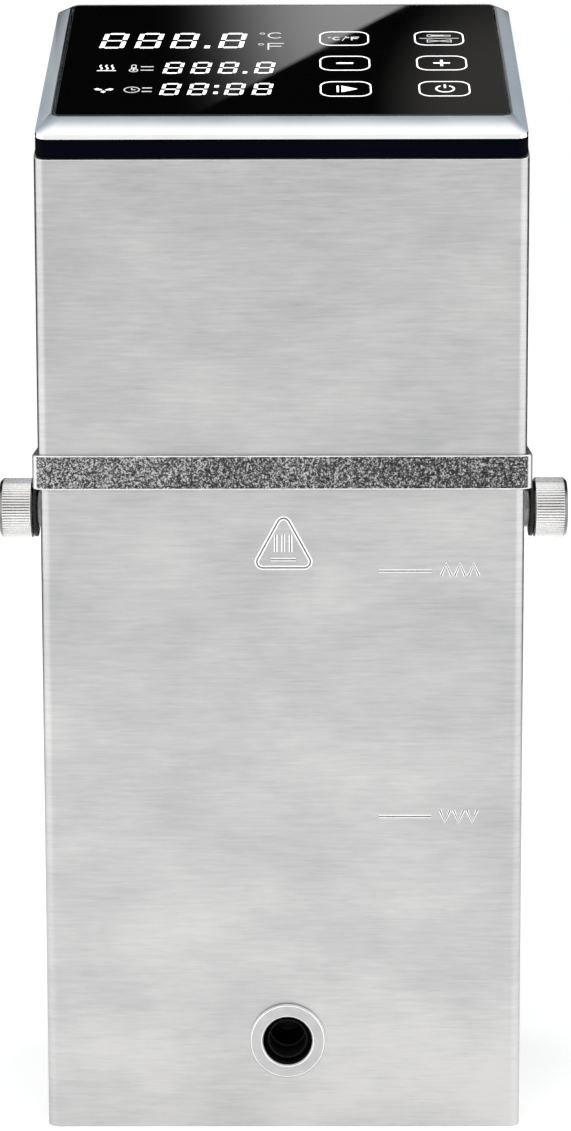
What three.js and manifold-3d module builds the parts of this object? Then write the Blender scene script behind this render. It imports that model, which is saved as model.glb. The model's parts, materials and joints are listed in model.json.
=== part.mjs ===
// Commercial sous vide circulator, in millimetres. +Z is up, the front faces -Y and the origin is
// the centre of the base. A dry head with an inclined touch panel carries the motor and the boards;
// the pump, the coil and the probes hang below its deck inside a sleeve that slides off downwards.
import * as THREE from "three";
import { mergeVertices } from "three/addons/utils/BufferGeometryUtils.js";
import Module from "manifold-3d";

const wasm = await Module();
wasm.setup();

// ---------------------------------------------------------------- driving dimensions

const GAP = 0.3; // between neighbouring pieces
const RUN_GAP = 0.5; // between a moving piece and what it passes
const FINE = 36; // facets of a large circle
const MEDIUM = 24; // facets of a circle of middling size
const COARSE = 16; // facets of a small circle
const COARSEST = 12; // facets of a post
const PIERCE = 1; // how far a cutting solid stands out of what it cuts

const HOUSING_WIDTH = 128;
const HOUSING_DEPTH = 90;
const HOUSING_CORNER = 3;
const SHEET = 1.2;
const HOUSING_FRONT_TOP = 258.5; // sloping top edge, measured at the front face
const PANEL_TILT = THREE.MathUtils.degToRad(20.6);
const TOP_FLANGE = 5;
const VENT = { length: 44, height: 2.2, pitch: 5, count: 6 };

const SLEEVE_HEIGHT = 177.5;
const SLEEVE_STEP = 0.5; // the sleeve sits inside the housing's faces by this much
const SLEEVE_CORNER = 3;
const BASE_SHEET = 2;
const INTAKE = { width: 3.6, length: 30, fromMiddle: 22, pitch: 8.5, count: 9, tall: 24, low: 12 };

const STRAP_THICKNESS = 1.15;
const STRAP_HEIGHT = 9;
const STRAP_BELOW = 4.4; // how far the strap reaches below the top of the sleeve

const BAND = { inset: 0.4, top: 4.4, wall: 7 };
const BEZEL = { rim: 1.1, land: 0.6, front: 7.9, back: 2.8, side: 4.6, rise: 3.5 };
const GLASS_THICKNESS = 3;
const GLASS_CORNER = 1.5;
const GLASS_PROUD = 0.1;

const THUMB = { below: 15.2, knobRadius: 8.25, knobLength: 9, stud: 2.85, reach: 14, lead: 0.5 };
const KNOB_CHAMFER = { inner: 0.35, outer: 0.9 };
const SHOULDER = { radius: 5.4, length: 2.9, neck: 4.2 };
const WASHER = { radius: 7.9, thickness: 1 };
const NUT = { thickness: 5, across: 13 };

const DECK = { above: 2.5, thickness: 1.5, skirtDepth: 28, skirtWidth: 50, clearance: 0.6 };
const GASKET = { width: 5, thickness: 1.2 };

const PUMP = { x: 0, y: 5 };
const SHAFT_RADIUS = 3;
const MOTOR = { radius: 27, length: 42, bore: 17.5, lift: 10, cap: 3, chamfer: 1, shaftEnd: 4 };
const ROTOR = { radius: 17, length: 28 };
const STANDOFF_RADIUS = 3.2;
const STANDOFF_INSET = 1; // from the motor's rim to a standoff's edge
const SEAL = { neck: 4, lip: 7, below: 1, above: 3 };
const COLUMN = { outer: 12, inner: 10, flange: 19, foot: 17, flangeThickness: 2 };
const OUTLET = { x: 1.1, height: 24.1, ringOuter: 10.2, ringBore: 6.55, proud: 1.3 };
const GROMMET = { outer: 7.7, length: 10, groove: 5.5, lip: 1.2, lipOuter: 5.5, lipBore: 4.85 };
const VOLUTE = { radius: 28, wall: 2.5, height: 21, nozzleOuter: 5.5, nozzleBore: 4.5 };
const IMPELLER = { radius: 22, hub: 6, blades: 6, blade: 1.8, plate: 2, height: 11 };
const PUMP_COVER = { thickness: 2, eye: 9 };

const COIL = { tube: 4, fromSide: 9.3, fromBack: 10.3, low: 58, pitch: 12.5, turns: 4, steps: 20 };
const COIL_ENDS = { start: 0.96 * Math.PI, short: 0.12, stub: 6, aboveTop: 22, aboveBase: 22, bend: 12 };
const COIL_FACETS = 8;
const LEG_STEPS = 24; // steps of the coil's tube that its two legs take
const TERMINAL = { radius: 3, length: 7, pin: 1.2, pinLength: 8 };
const LEG_INNER = 33; // distance of the coil's return leg from the pump
const HEATER_PLATE = { width: 30, depth: 40, thickness: 3, aside: -1 };
const PROBE = { x: 27, y: -17, radius: 2.5, low: 48 };
const FLOAT = { x: 27, y: 10, stem: 3, radius: 9, length: 18, low: 88, travel: 12, floor: 52 };

const BOARD = { thickness: 1.6, height: 52, depth: 62, lift: 8.7, fromWall: 5, fromFront: 12 };
const HEAT_SINK = { fins: 7, fin: 1.6, pitch: 6, depth: 12, base: 3, height: 32, lift: 17 };
const RELAY = { width: 18, depth: 12, height: 22 };
const DISPLAY = { width: 104, length: 70, thickness: 1.6, below: 4.6, module: 4 };
const DIGIT_MODULES = [
  { name: "digit_module_temperature", x: -30, s: 53, width: 43, height: 18 },
  { name: "digit_module_set_temperature", x: -17, s: 33, width: 34, height: 14 },
  { name: "digit_module_set_time", x: -17, s: 18, width: 34, height: 14 },
];

const FAN = { size: 40, depth: 10, bore: 18.5, hub: 9, blades: 7, blade: 1.4, below: 1.5, boss: 7 };
const INLET = { x: 42, lift: 21.7, width: 27, tall: 20, flange: 3, body: 18, rim: 3, wall: 2, floor: 3 };
const INLET_PIN = { width: 2, tall: 5, pitch: 6, drop: 1, tip: -4 };

const CLAMP = { width: 48, sheet: 2.5, lift: 4.7, plate: 39, jaw: 30, leg: 92, screwBelow: 27.5 };
const CLAMP_SCREW = { radius: 3.8, inward: 11, outward: 9 };
const CLAMP_NUT = { radius: 8, length: 6 };
const CLAMP_KNOB = { radius: 15, length: 15, cap: 4, foot: 4, rim: 3 };
const KNOB_DENTS = { count: 5, radius: 9, reach: 20.58 };
const PAD = { radius: 13, thickness: 4, socket: 6.5, socketLength: 4.5 };
const BRACKET_SCREW = { radius: 4.2, head: 2.4, shank: 2, shankLength: 5.5, spanX: 16, spanZ: 9 };
const BUMPER = { radius: 7, thickness: 2.6, spanX: 38, height: 60, plug: 1.5, chamfer: 0.8 };

// ---------------------------------------------------------------- sizes that follow from them

const FRONT = -HOUSING_DEPTH / 2;
const BACK = HOUSING_DEPTH / 2;
const SIDE = HOUSING_WIDTH / 2;
const SLEEVE_SIDE = SIDE - SLEEVE_STEP;
const SLEEVE_FRONT = FRONT + SLEEVE_STEP;
const SLEEVE_BACK = BACK - SLEEVE_STEP;
const DECK_LOW = SLEEVE_HEIGHT + DECK.above;
const DECK_TOP = DECK_LOW + DECK.thickness;
const HOUSING_FLOOR = DECK_TOP + GASKET.thickness + 2 * GAP;
const MOTOR_LOW = DECK_TOP + MOTOR.lift;
const THUMB_HEIGHT = SLEEVE_HEIGHT - THUMB.below;
const COIL_HALF_X = SLEEVE_SIDE - SHEET - COIL.fromSide;
const COIL_HALF_Y = SLEEVE_BACK - SHEET - COIL.fromBack;
const BOARD_LOW = HOUSING_FLOOR + BOARD.lift;
const FAN_HEIGHT = HOUSING_FRONT_TOP - FAN.below;
const INLET_HEIGHT = HOUSING_FLOOR + INLET.lift;
const CLAMP_LOW = HOUSING_FLOOR + CLAMP.lift;
const CLAMP_TOP = CLAMP_LOW + CLAMP.plate;
const CLAMP_SCREW_HEIGHT = SLEEVE_HEIGHT - CLAMP.screwBelow;
const LIMIT = 400; // larger than the object, for half-space cuts

// ---------------------------------------------------------------- shapes and solids

// A closed geometry as a manifold solid, with shared vertices merged.
function toSolid(geometry) {
  const bare = new THREE.BufferGeometry();
  bare.setAttribute("position", geometry.getAttribute("position"));
  bare.setIndex(geometry.index);
  const merged = mergeVertices(bare, 1e-4);
  const index = merged.index.array;
  const corners = [];
  for (let i = 0; i < index.length; i += 3) {
    const [a, b, c] = [index[i], index[i + 1], index[i + 2]];
    if (a !== b && b !== c && c !== a) corners.push(a, b, c);
  }
  const vertProperties = new Float32Array(merged.getAttribute("position").array);
  return new wasm.Manifold(
    new wasm.Mesh({ numProp: 3, vertProperties, triVerts: new Uint32Array(corners) }),
  );
}

function toGeometry(solid) {
  const { vertProperties, triVerts } = solid.getMesh();
  const geometry = new THREE.BufferGeometry();
  geometry.setAttribute("position", new THREE.BufferAttribute(vertProperties, 3));
  geometry.setIndex(new THREE.BufferAttribute(triVerts, 1));
  geometry.computeVertexNormals();
  return geometry;
}

function cut(body, ...tools) {
  return toGeometry(tools.reduce((left, tool) => left.subtract(toSolid(tool)), toSolid(body)));
}

function join(body, ...others) {
  return toGeometry(others.reduce((whole, other) => whole.add(toSolid(other)), toSolid(body)));
}

function common(body, other) {
  return toGeometry(toSolid(body).intersect(toSolid(other)));
}

// A rectangle with round corners, centred on (x, y).
function roundedRect(width, depth, radius, x = 0, y = 0) {
  const [w, d] = [width / 2 - radius, depth / 2 - radius];
  const shape = new THREE.Shape();
  shape.absarc(x + w, y - d, radius, -Math.PI / 2, 0);
  shape.absarc(x + w, y + d, radius, 0, Math.PI / 2);
  shape.absarc(x - w, y + d, radius, Math.PI / 2, Math.PI);
  shape.absarc(x - w, y - d, radius, Math.PI, 1.5 * Math.PI);
  shape.closePath();
  return shape;
}

// A shape in the XY plane raised from low to high.
function prism(shape, low, high, curveSegments = 2) {
  const options = { depth: high - low, bevelEnabled: false, curveSegments };
  return new THREE.ExtrudeGeometry(shape, options).translate(0, 0, low);
}

function box(x0, x1, y0, y1, z0, z1) {
  const geometry = new THREE.BoxGeometry(x1 - x0, y1 - y0, z1 - z0);
  return geometry.translate((x0 + x1) / 2, (y0 + y1) / 2, (z0 + z1) / 2);
}

// A body turned about Z from [radius, height] points, up the outer side and down the inner side.
function turned(points, segments = COARSE) {
  const profile = points.map(([r, z]) => new THREE.Vector2(r, z));
  return new THREE.LatheGeometry(profile, segments).rotateX(Math.PI / 2);
}

function disc(radius, low, high, segments = COARSE) {
  return turned([[0, low], [radius, low], [radius, high], [0, high]], segments);
}

function ring(inner, outer, low, high, segments = COARSE) {
  return turned([[inner, low], [outer, low], [outer, high], [inner, high], [inner, low]], segments);
}

// A hexagon nut with a plain hole.
function hexNut(across, hole, low, high) {
  const body = new THREE.CylinderGeometry(across / Math.sqrt(3), across / Math.sqrt(3), high - low, 6);
  body.rotateX(Math.PI / 2).translate(0, 0, (low + high) / 2);
  return cut(body, disc(hole, low - PIERCE, high + PIERCE));
}

// The part of a body below the panel plane, offset along the panel's normal.
function belowPanel(body, offset) {
  const half = box(-LIMIT, LIMIT, -LIMIT, LIMIT, -2 * LIMIT, offset);
  half.rotateX(PANEL_TILT).translate(0, FRONT, HOUSING_FRONT_TOP);
  return common(body, half);
}

// The outline that vertical walls, inset from the housing's faces, have on a plane parallel to the
// panel: x and the distance s up the slope, on the plane at the given height along the normal.
function wallOutline(inset, height) {
  const shift = height * Math.tan(PANEL_TILT);
  return {
    side: SIDE - inset,
    low: inset / Math.cos(PANEL_TILT) + shift,
    high: (HOUSING_DEPTH - inset) / Math.cos(PANEL_TILT) + shift,
  };
}

// A closed body through rounded rectangles {side, low, high, corner} at rising heights.
function loft(levels) {
  const rings = levels.map(({ side, low, high, corner, height }) => {
    const outline = roundedRect(2 * side, high - low, corner, 0, (low + high) / 2);
    const points = outline.getPoints(2).slice(0, -1);
    return points.map((p) => new THREE.Vector3(p.x, p.y, height));
  });
  const flat = rings[0].map((p) => new THREE.Vector2(p.x, p.y));
  const count = flat.length;
  const index = [];
  for (let level = 0; level + 1 < rings.length; level += 1) {
    for (let i = 0; i < count; i += 1) {
      const [a, b] = [level * count + i, level * count + ((i + 1) % count)];
      index.push(a, b, b + count, a, b + count, a + count);
    }
  }
  const top = (rings.length - 1) * count;
  for (const [a, b, c] of THREE.ShapeUtils.triangulateShape(flat, [])) {
    index.push(a, c, b, top + a, top + b, top + c);
  }
  return new THREE.BufferGeometry().setFromPoints(rings.flat()).setIndex(index);
}

// A loft with vertical walls between two heights above the panel plane.
function panelPrism(inset, corner, low, high) {
  return loft([low, high].map((height) => ({ ...wallOutline(inset, height), corner, height })));
}

// ---------------------------------------------------------------- materials

function metal(color, roughness) {
  return { color, roughness, metalness: 1 };
}

function plastic(color, roughness) {
  return { color, roughness, metalness: 0 };
}

const BRUSHED = metal(0xc9cacb, 0.32);
const BRIGHT = metal(0xe4e6e8, 0.12);
const DULL_STEEL = metal(0xa9abad, 0.4);
const HAMMERED = metal(0x4b4c4e, 0.55);
const BRASS = metal(0xc9a557, 0.35);
const ALUMINIUM = metal(0xb8babd, 0.45);
const BLACK_GLASS = plastic(0x08090b, 0.05);
const BLACK_PLASTIC = plastic(0x111319, 0.35);
const MATT_BLACK = plastic(0x1a1a1b, 0.7);
const RUBBER = plastic(0x161616, 0.85);
const WHITE_PLASTIC = plastic(0xd9d9d4, 0.5);
const BOARD_GREEN = plastic(0x1d5a36, 0.55);
const CERAMIC = plastic(0xe9e4da, 0.6);

function mesh(name, geometry, look) {
  const made = new THREE.Mesh(geometry, new THREE.MeshStandardMaterial(look));
  made.name = name;
  return made;
}

// ---------------------------------------------------------------- upper housing and panel

function rearVents() {
  const rows = [];
  for (let i = 0; i < VENT.count; i += 1) {
    const low = FAN_HEIGHT + (i - (VENT.count - 1) / 2) * VENT.pitch - VENT.height / 2;
    rows.push(
      box(-VENT.length / 2, VENT.length / 2, BACK - 4 * SHEET, BACK + SHEET, low, low + VENT.height),
    );
  }
  return rows;
}

function housingPrism(inset, low, high) {
  const shape = roundedRect(
    HOUSING_WIDTH - 2 * inset,
    HOUSING_DEPTH - 2 * inset,
    Math.max(HOUSING_CORNER - inset, 0.5),
  );
  return prism(shape, low, high);
}

function inletCut() {
  const shape = roundedRect(INLET.width + 2 * GAP, INLET.tall + 2 * GAP, 2 + GAP);
  return prism(shape, -HOUSING_DEPTH / 4, SHEET).rotateX(-Math.PI / 2).translate(INLET.x, BACK, INLET_HEIGHT);
}

function bracketScrewSpots() {
  const middle = (CLAMP_LOW + CLAMP_TOP) / 2;
  return [-1, 1].flatMap((i) =>
    [-1, 1].map((k) => ({ x: i * BRACKET_SCREW.spanX, z: middle + k * BRACKET_SCREW.spanZ })),
  );
}

// A disc along Y at one height on the back, for holes through the back wall.
function backHole(radius, x, z, y0, y1) {
  return disc(radius, -y1, -y0).rotateX(Math.PI / 2).translate(x, 0, z);
}

function upperHousing() {
  const low = SLEEVE_HEIGHT + GAP;
  const tall = HOUSING_FRONT_TOP + HOUSING_DEPTH;
  const outer = belowPanel(housingPrism(0, low, tall), 0);
  const room = belowPanel(housingPrism(SHEET, HOUSING_FLOOR + SHEET, tall), -SHEET);
  const skirt = housingPrism(SHEET, low - 1, HOUSING_FLOOR);
  const mouth = housingPrism(TOP_FLANGE, HOUSING_FLOOR - 1, tall);
  const holes = bracketScrewSpots().map(({ x, z }) =>
    backHole(BRACKET_SCREW.shank + GAP, x, z, BACK - 3 * SHEET, BACK + SHEET),
  );
  const shell = cut(outer, room, skirt, mouth, inletCut(), ...rearVents(), ...holes);
  return mesh("upper_housing", shell, BRUSHED);
}

function headBand() {
  const outer = panelPrism(BAND.inset, HOUSING_CORNER, GAP, BAND.top);
  const inner = panelPrism(BAND.wall, 1, GAP - 1, BAND.top + 1);
  return mesh("head_band", cut(outer, inner), BLACK_PLASTIC);
}

// Heights above the panel plane, and the outline of the glass in the slope's own x and s.
const BEZEL_LOW = BAND.top + GAP;
const BEZEL_RIM = BEZEL_LOW + BEZEL.rim;
const BEZEL_TOP = BEZEL_LOW + BEZEL.rise;
const RIM_OUTLINE = wallOutline(BAND.inset, BEZEL_LOW);
const GLASS_OUTLINE = {
  side: RIM_OUTLINE.side - BEZEL.side,
  low: RIM_OUTLINE.low + BEZEL.front,
  high: RIM_OUTLINE.high - BEZEL.back,
};
const GLASS_TOP = BEZEL_TOP + GLASS_PROUD;
const GLASS_LOW = GLASS_TOP - GLASS_THICKNESS;

function grown({ side, low, high }, by) {
  return { side: side + by, low: low - by, high: high + by };
}

function bezelFrame() {
  const corner = HOUSING_CORNER;
  const outer = loft([
    { ...RIM_OUTLINE, corner, height: BEZEL_LOW },
    { ...wallOutline(BAND.inset, BEZEL_RIM), corner, height: BEZEL_RIM },
    { ...grown(GLASS_OUTLINE, GAP + BEZEL.land), corner, height: BEZEL_TOP },
  ]);
  const pocket = loft(
    [GLASS_LOW - GAP, BEZEL_TOP + 1].map((height) => ({
      ...grown(GLASS_OUTLINE, GAP),
      corner: GLASS_CORNER + GAP,
      height,
    })),
  );
  const window = panelPrism(BAND.wall + 4, 1, BEZEL_LOW - 1, BEZEL_TOP);
  return mesh("bezel_frame", cut(outer, pocket, window), BRIGHT);
}

function controlGlass() {
  const levels = [GLASS_LOW, GLASS_TOP - 0.3].map((height) => ({
    ...GLASS_OUTLINE,
    corner: GLASS_CORNER,
    height,
  }));
  levels.push({ ...grown(GLASS_OUTLINE, -0.3), corner: GLASS_CORNER - 0.3, height: GLASS_TOP });
  return mesh("control_glass", loft(levels), BLACK_GLASS);
}

function displayBoard() {
  const middle = (GLASS_OUTLINE.low + GLASS_OUTLINE.high) / 2;
  const top = GLASS_LOW - DISPLAY.below;
  const shape = roundedRect(DISPLAY.width, DISPLAY.length, 2, 0, middle);
  return mesh("display_board", prism(shape, top - DISPLAY.thickness, top), BOARD_GREEN);
}

function digitModule({ name, x, s, width, height }) {
  const low = GLASS_LOW - DISPLAY.below + GAP;
  const shape = roundedRect(width, height, 1, x, GLASS_OUTLINE.low + s);
  return mesh(name, prism(shape, low, low + DISPLAY.module, 1), MATT_BLACK);
}

function panelHead() {
  const head = new THREE.Group();
  head.position.set(0, FRONT, HOUSING_FRONT_TOP);
  head.rotation.x = PANEL_TILT;
  head.add(headBand(), bezelFrame(), controlGlass(), displayBoard());
  head.add(...DIGIT_MODULES.map(digitModule));
  return head;
}

// ---------------------------------------------------------------- collar strap, deck and gasket

function collarStrap() {
  const low = SLEEVE_HEIGHT - STRAP_BELOW;
  const outer = housingPrism(-GAP - STRAP_THICKNESS, low, low + STRAP_HEIGHT);
  const inner = housingPrism(-GAP, low - 1, low + STRAP_HEIGHT + 1);
  return mesh("collar_strap", cut(outer, inner), HAMMERED);
}

// Through holes of the deck, for the shaft, the coil's legs, the probe and the float's stem.
function deckHoles(low, high) {
  return [
    disc(SHAFT_RADIUS + 4 + GAP, low, high).translate(PUMP.x, PUMP.y, 0),
    disc(PROBE.radius + GAP, low, high).translate(PROBE.x, PROBE.y, 0),
    disc(FLOAT.stem + GAP, low, high).translate(FLOAT.x, FLOAT.y, 0),
    ...coilLegs().map(({ x, y }) => disc(COIL.tube + GAP, low, high).translate(x, y, 0)),
  ];
}

function innerDeck() {
  const inset = SHEET + GAP;
  const plate = housingPrism(inset, DECK_LOW, DECK_TOP);
  const skirts = [-1, 1].map((side) => {
    const outer = side * (SLEEVE_SIDE - SHEET - DECK.clearance);
    const inner = outer - side * DECK.thickness;
    return box(
      Math.min(outer, inner),
      Math.max(outer, inner),
      -DECK.skirtWidth / 2,
      DECK.skirtWidth / 2,
      DECK_LOW - DECK.skirtDepth,
      DECK_TOP - DECK.thickness / 2,
    );
  });
  const studs = disc(THUMB.stud + 1, -SIDE, SIDE).rotateY(Math.PI / 2).translate(0, 0, THUMB_HEIGHT);
  const holes = deckHoles(DECK_LOW - 1, DECK_TOP + 1);
  return mesh("inner_deck", cut(join(plate, ...skirts), studs, ...holes), DULL_STEEL);
}

function deckGasket() {
  const low = DECK_TOP + GAP;
  const outer = housingPrism(SHEET + GAP, low, low + GASKET.thickness);
  const inner = housingPrism(SHEET + GAP + GASKET.width, low - 1, low + GASKET.thickness + 1);
  return mesh("deck_gasket", cut(outer, inner), RUBBER);
}

// ---------------------------------------------------------------- sleeve and outlet

function intakeSlots() {
  const slots = [];
  for (let i = 0; i < INTAKE.count; i += 1) {
    const x = (i - (INTAKE.count - 1) / 2) * INTAKE.pitch;
    const shape = roundedRect(INTAKE.width, INTAKE.tall, INTAKE.width / 2 - 0.1);
    const slot = prism(shape, -2 * SHEET, 2 * SHEET, 1).rotateX(Math.PI / 2);
    slots.push(slot.translate(x, SLEEVE_BACK, INTAKE.low + INTAKE.tall / 2));
  }
  return slots;
}

function sleevePrism(inset, low, high) {
  const shape = roundedRect(
    2 * (SLEEVE_SIDE - inset),
    2 * (SLEEVE_BACK - inset),
    Math.max(SLEEVE_CORNER - inset, 0.5),
  );
  return prism(shape, low, high);
}

// A slot for a thumb screw, open at the sleeve's top edge.
function thumbSlot() {
  const width = THUMB.stud + RUN_GAP;
  const round = disc(width, -SIDE - 1, SIDE + 1).rotateY(Math.PI / 2).translate(0, 0, THUMB_HEIGHT);
  const open = box(-SIDE - 1, SIDE + 1, -width, width, THUMB_HEIGHT, SLEEVE_HEIGHT + 1);
  return join(round, open);
}

function lowerSleeve() {
  const outer = sleevePrism(0, 0, SLEEVE_HEIGHT);
  const room = sleevePrism(SHEET, -1, SLEEVE_HEIGHT + 1);
  const hole = disc(GROMMET.outer + GAP, -SLEEVE_FRONT - 2 * SHEET, -SLEEVE_FRONT + SHEET);
  hole.rotateX(Math.PI / 2).translate(OUTLET.x, 0, OUTLET.height);
  const bumperHoles = [-1, 1].map((side) =>
    backHole(BUMPER.radius / 2, side * BUMPER.spanX, BUMPER.height, SLEEVE_BACK - 2 * SHEET, BACK),
  );
  const shell = cut(outer, room, thumbSlot(), hole, ...intakeSlots(), ...bumperHoles);
  return mesh("lower_sleeve", shell, BRUSHED);
}

function basePlate() {
  const plate = sleevePrism(SHEET + GAP, 0, BASE_SHEET);
  const slots = [];
  for (let i = 0; i < INTAKE.count; i += 1) {
    const x = (i - (INTAKE.count - 1) / 2) * INTAKE.pitch;
    for (const side of [-1, 1]) {
      const y = side * INTAKE.fromMiddle;
      const shape = roundedRect(INTAKE.width, INTAKE.length, INTAKE.width / 2 - 0.1, x, y);
      slots.push(prism(shape, -1, BASE_SHEET + 1, 1));
    }
  }
  return mesh("base_plate", cut(plate, ...slots), DULL_STEEL);
}

// Pieces round the outlet are turned about Z and laid along -Y at the outlet's centre.
function atOutlet(piece) {
  piece.rotation.x = Math.PI / 2;
  piece.position.set(OUTLET.x, 0, OUTLET.height);
  return piece;
}

function outletRing() {
  const face = -SLEEVE_FRONT + OUTLET.proud;
  const seat = -SLEEVE_FRONT + GAP;
  const chamfer = 0.4;
  const profile = [
    [OUTLET.ringBore, seat],
    [OUTLET.ringOuter, seat],
    [OUTLET.ringOuter, face - chamfer],
    [OUTLET.ringOuter - chamfer, face],
    [OUTLET.ringBore + chamfer, face],
    [OUTLET.ringBore, face - chamfer],
    [OUTLET.ringBore, seat],
  ];
  return atOutlet(mesh("outlet_ring", turned(profile, FINE), BRIGHT));
}

// A rubber grommet through the sleeve, with a thin inner lip standing in a groove.
function outletGrommet() {
  const front = -SLEEVE_FRONT;
  const back = front - GROMMET.length;
  const profile = [
    [GROMMET.lipBore, back],
    [GROMMET.outer, back],
    [GROMMET.outer, front],
    [OUTLET.ringBore, front],
    [OUTLET.ringBore, front - GROMMET.groove],
    [GROMMET.lipOuter, front - GROMMET.groove],
    [GROMMET.lipOuter, front - GROMMET.lip],
    [GROMMET.lipBore, front - GROMMET.lip],
    [GROMMET.lipBore, back],
  ];
  return atOutlet(mesh("outlet_grommet", turned(profile, FINE), RUBBER));
}

// ---------------------------------------------------------------- thumb screws

// One side's washer and screw, built towards +X.
function thumbScrew(side, label) {
  const group = new THREE.Group();
  group.position.z = THUMB_HEIGHT;
  group.rotation.z = side > 0 ? 0 : Math.PI;
  const shoulderLow = SIDE + GAP;
  const washerLow = shoulderLow + SHOULDER.length + GAP;
  const knobLow = washerLow + WASHER.thickness + GAP;
  const knobHigh = knobLow + THUMB.knobLength;
  const { neck } = SHOULDER;
  const { inner, outer } = KNOB_CHAMFER;
  const tip = SLEEVE_SIDE - THUMB.reach;
  const screw = turned([
    [0, tip],
    [THUMB.stud - THUMB.lead, tip],
    [THUMB.stud, tip + THUMB.lead],
    [THUMB.stud, shoulderLow],
    [SHOULDER.radius, shoulderLow],
    [SHOULDER.radius, shoulderLow + SHOULDER.length],
    [neck, shoulderLow + SHOULDER.length],
    [neck, knobLow],
    [THUMB.knobRadius - inner, knobLow],
    [THUMB.knobRadius, knobLow + inner],
    [THUMB.knobRadius, knobHigh - outer],
    [THUMB.knobRadius - outer, knobHigh],
    [0, knobHigh],
  ]);
  const washer = ring(neck + GAP, WASHER.radius, washerLow, washerLow + WASHER.thickness);
  group.add(
    mesh(label + "_thumb_screw", screw.rotateY(Math.PI / 2), BRIGHT),
    mesh(label + "_thumb_washer", washer.rotateY(Math.PI / 2), MATT_BLACK),
  );
  return group;
}

function weldNut(side, label) {
  const high = SLEEVE_SIDE - SHEET - DECK.clearance - DECK.thickness - GAP;
  const nut = hexNut(NUT.across, THUMB.stud + RUN_GAP, high - NUT.thickness, high);
  const made = mesh(label + "_weld_nut", nut.rotateY(Math.PI / 2), DULL_STEEL);
  made.rotation.z = side > 0 ? 0 : Math.PI;
  made.position.z = THUMB_HEIGHT;
  return made;
}

// ---------------------------------------------------------------- pump

const VOLUTE_LOW = OUTLET.height - VOLUTE.height / 2;
const VOLUTE_HIGH = OUTLET.height + VOLUTE.height / 2;
const ROTOR_LOW = MOTOR_LOW + (MOTOR.length - ROTOR.length) / 2;
const IMPELLER_LOW = OUTLET.height - IMPELLER.height / 2;

function motorHousing() {
  const high = MOTOR_LOW + MOTOR.length;
  const hole = SHAFT_RADIUS + RUN_GAP;
  const shell = turned(
    [
      [MOTOR.bore + GAP, MOTOR_LOW],
      [MOTOR.radius - MOTOR.chamfer, MOTOR_LOW],
      [MOTOR.radius, MOTOR_LOW + MOTOR.chamfer],
      [MOTOR.radius, high - MOTOR.chamfer],
      [MOTOR.radius - MOTOR.chamfer, high],
      [hole, high],
      [hole, high - MOTOR.cap],
      [MOTOR.bore + GAP, high - MOTOR.cap],
      [MOTOR.bore + GAP, MOTOR_LOW],
    ],
    FINE,
  );
  return mesh("motor_housing", shell, DULL_STEEL);
}

function motorStandoffs() {
  return [0, 1, 2, 3].map((i) => {
    const angle = Math.PI / 4 + (i * Math.PI) / 2;
    const reach = MOTOR.radius - STANDOFF_RADIUS - STANDOFF_INSET;
    const post = disc(STANDOFF_RADIUS, DECK_TOP + GAP, MOTOR_LOW - GAP, COARSEST);
    const made = mesh("motor_standoff_" + (i + 1), post, BRASS);
    made.position.set(reach * Math.cos(angle), reach * Math.sin(angle), 0);
    return made;
  });
}

function shaftSeal() {
  const inner = SHAFT_RADIUS + RUN_GAP;
  const low = DECK_LOW - SEAL.below;
  const high = DECK_TOP + SEAL.above;
  const body = turned([
    [inner, low],
    [SHAFT_RADIUS + SEAL.neck, low],
    [SHAFT_RADIUS + SEAL.neck, DECK_TOP + GAP],
    [SHAFT_RADIUS + SEAL.lip, DECK_TOP + GAP],
    [SHAFT_RADIUS + SEAL.lip, high],
    [inner, high],
    [inner, low],
  ]);
  return mesh("shaft_seal", body, RUBBER);
}

function pumpColumn() {
  const high = DECK_LOW - SEAL.below - GAP;
  const low = VOLUTE_HIGH + GAP;
  const { outer, inner, flange, foot, flangeThickness: t } = COLUMN;
  const tube = turned(
    [
      [inner, low],
      [foot, low],
      [foot, low + t],
      [outer, low + t],
      [outer, high - t],
      [flange, high - t],
      [flange, high],
      [inner, high],
      [inner, low],
    ],
    MEDIUM,
  );
  return mesh("pump_column", tube, DULL_STEEL);
}

function pumpVolute() {
  const { radius, wall, nozzleOuter, nozzleBore } = VOLUTE;
  const body = disc(radius, VOLUTE_LOW, VOLUTE_HIGH, FINE);
  const end = -SLEEVE_FRONT - GROMMET.length - RUN_GAP;
  const aside = OUTLET.x - PUMP.x;
  const lay = (geometry) => geometry.rotateX(Math.PI / 2).translate(aside, -PUMP.y, OUTLET.height);
  const nozzle = lay(disc(nozzleOuter, 0, end));
  const bore = lay(disc(nozzleBore, PIERCE, end + PIERCE));
  const chamber = disc(radius - wall, VOLUTE_LOW - PIERCE, VOLUTE_HIGH - wall, FINE);
  const shaft = disc(SHAFT_RADIUS + RUN_GAP, VOLUTE_LOW, VOLUTE_HIGH + PIERCE);
  return mesh("pump_volute", cut(join(body, nozzle), bore, chamber, shaft), BLACK_PLASTIC);
}

function pumpCover() {
  const high = VOLUTE_LOW - GAP;
  const plate = ring(PUMP_COVER.eye, VOLUTE.radius, high - PUMP_COVER.thickness, high, FINE);
  return mesh("pump_cover", plate, BLACK_PLASTIC);
}

function pumpShaft() {
  const low = IMPELLER_LOW + IMPELLER.plate;
  const high = MOTOR_LOW + MOTOR.length + MOTOR.shaftEnd;
  return mesh("pump_shaft", disc(SHAFT_RADIUS, low, high), BRIGHT);
}

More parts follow.
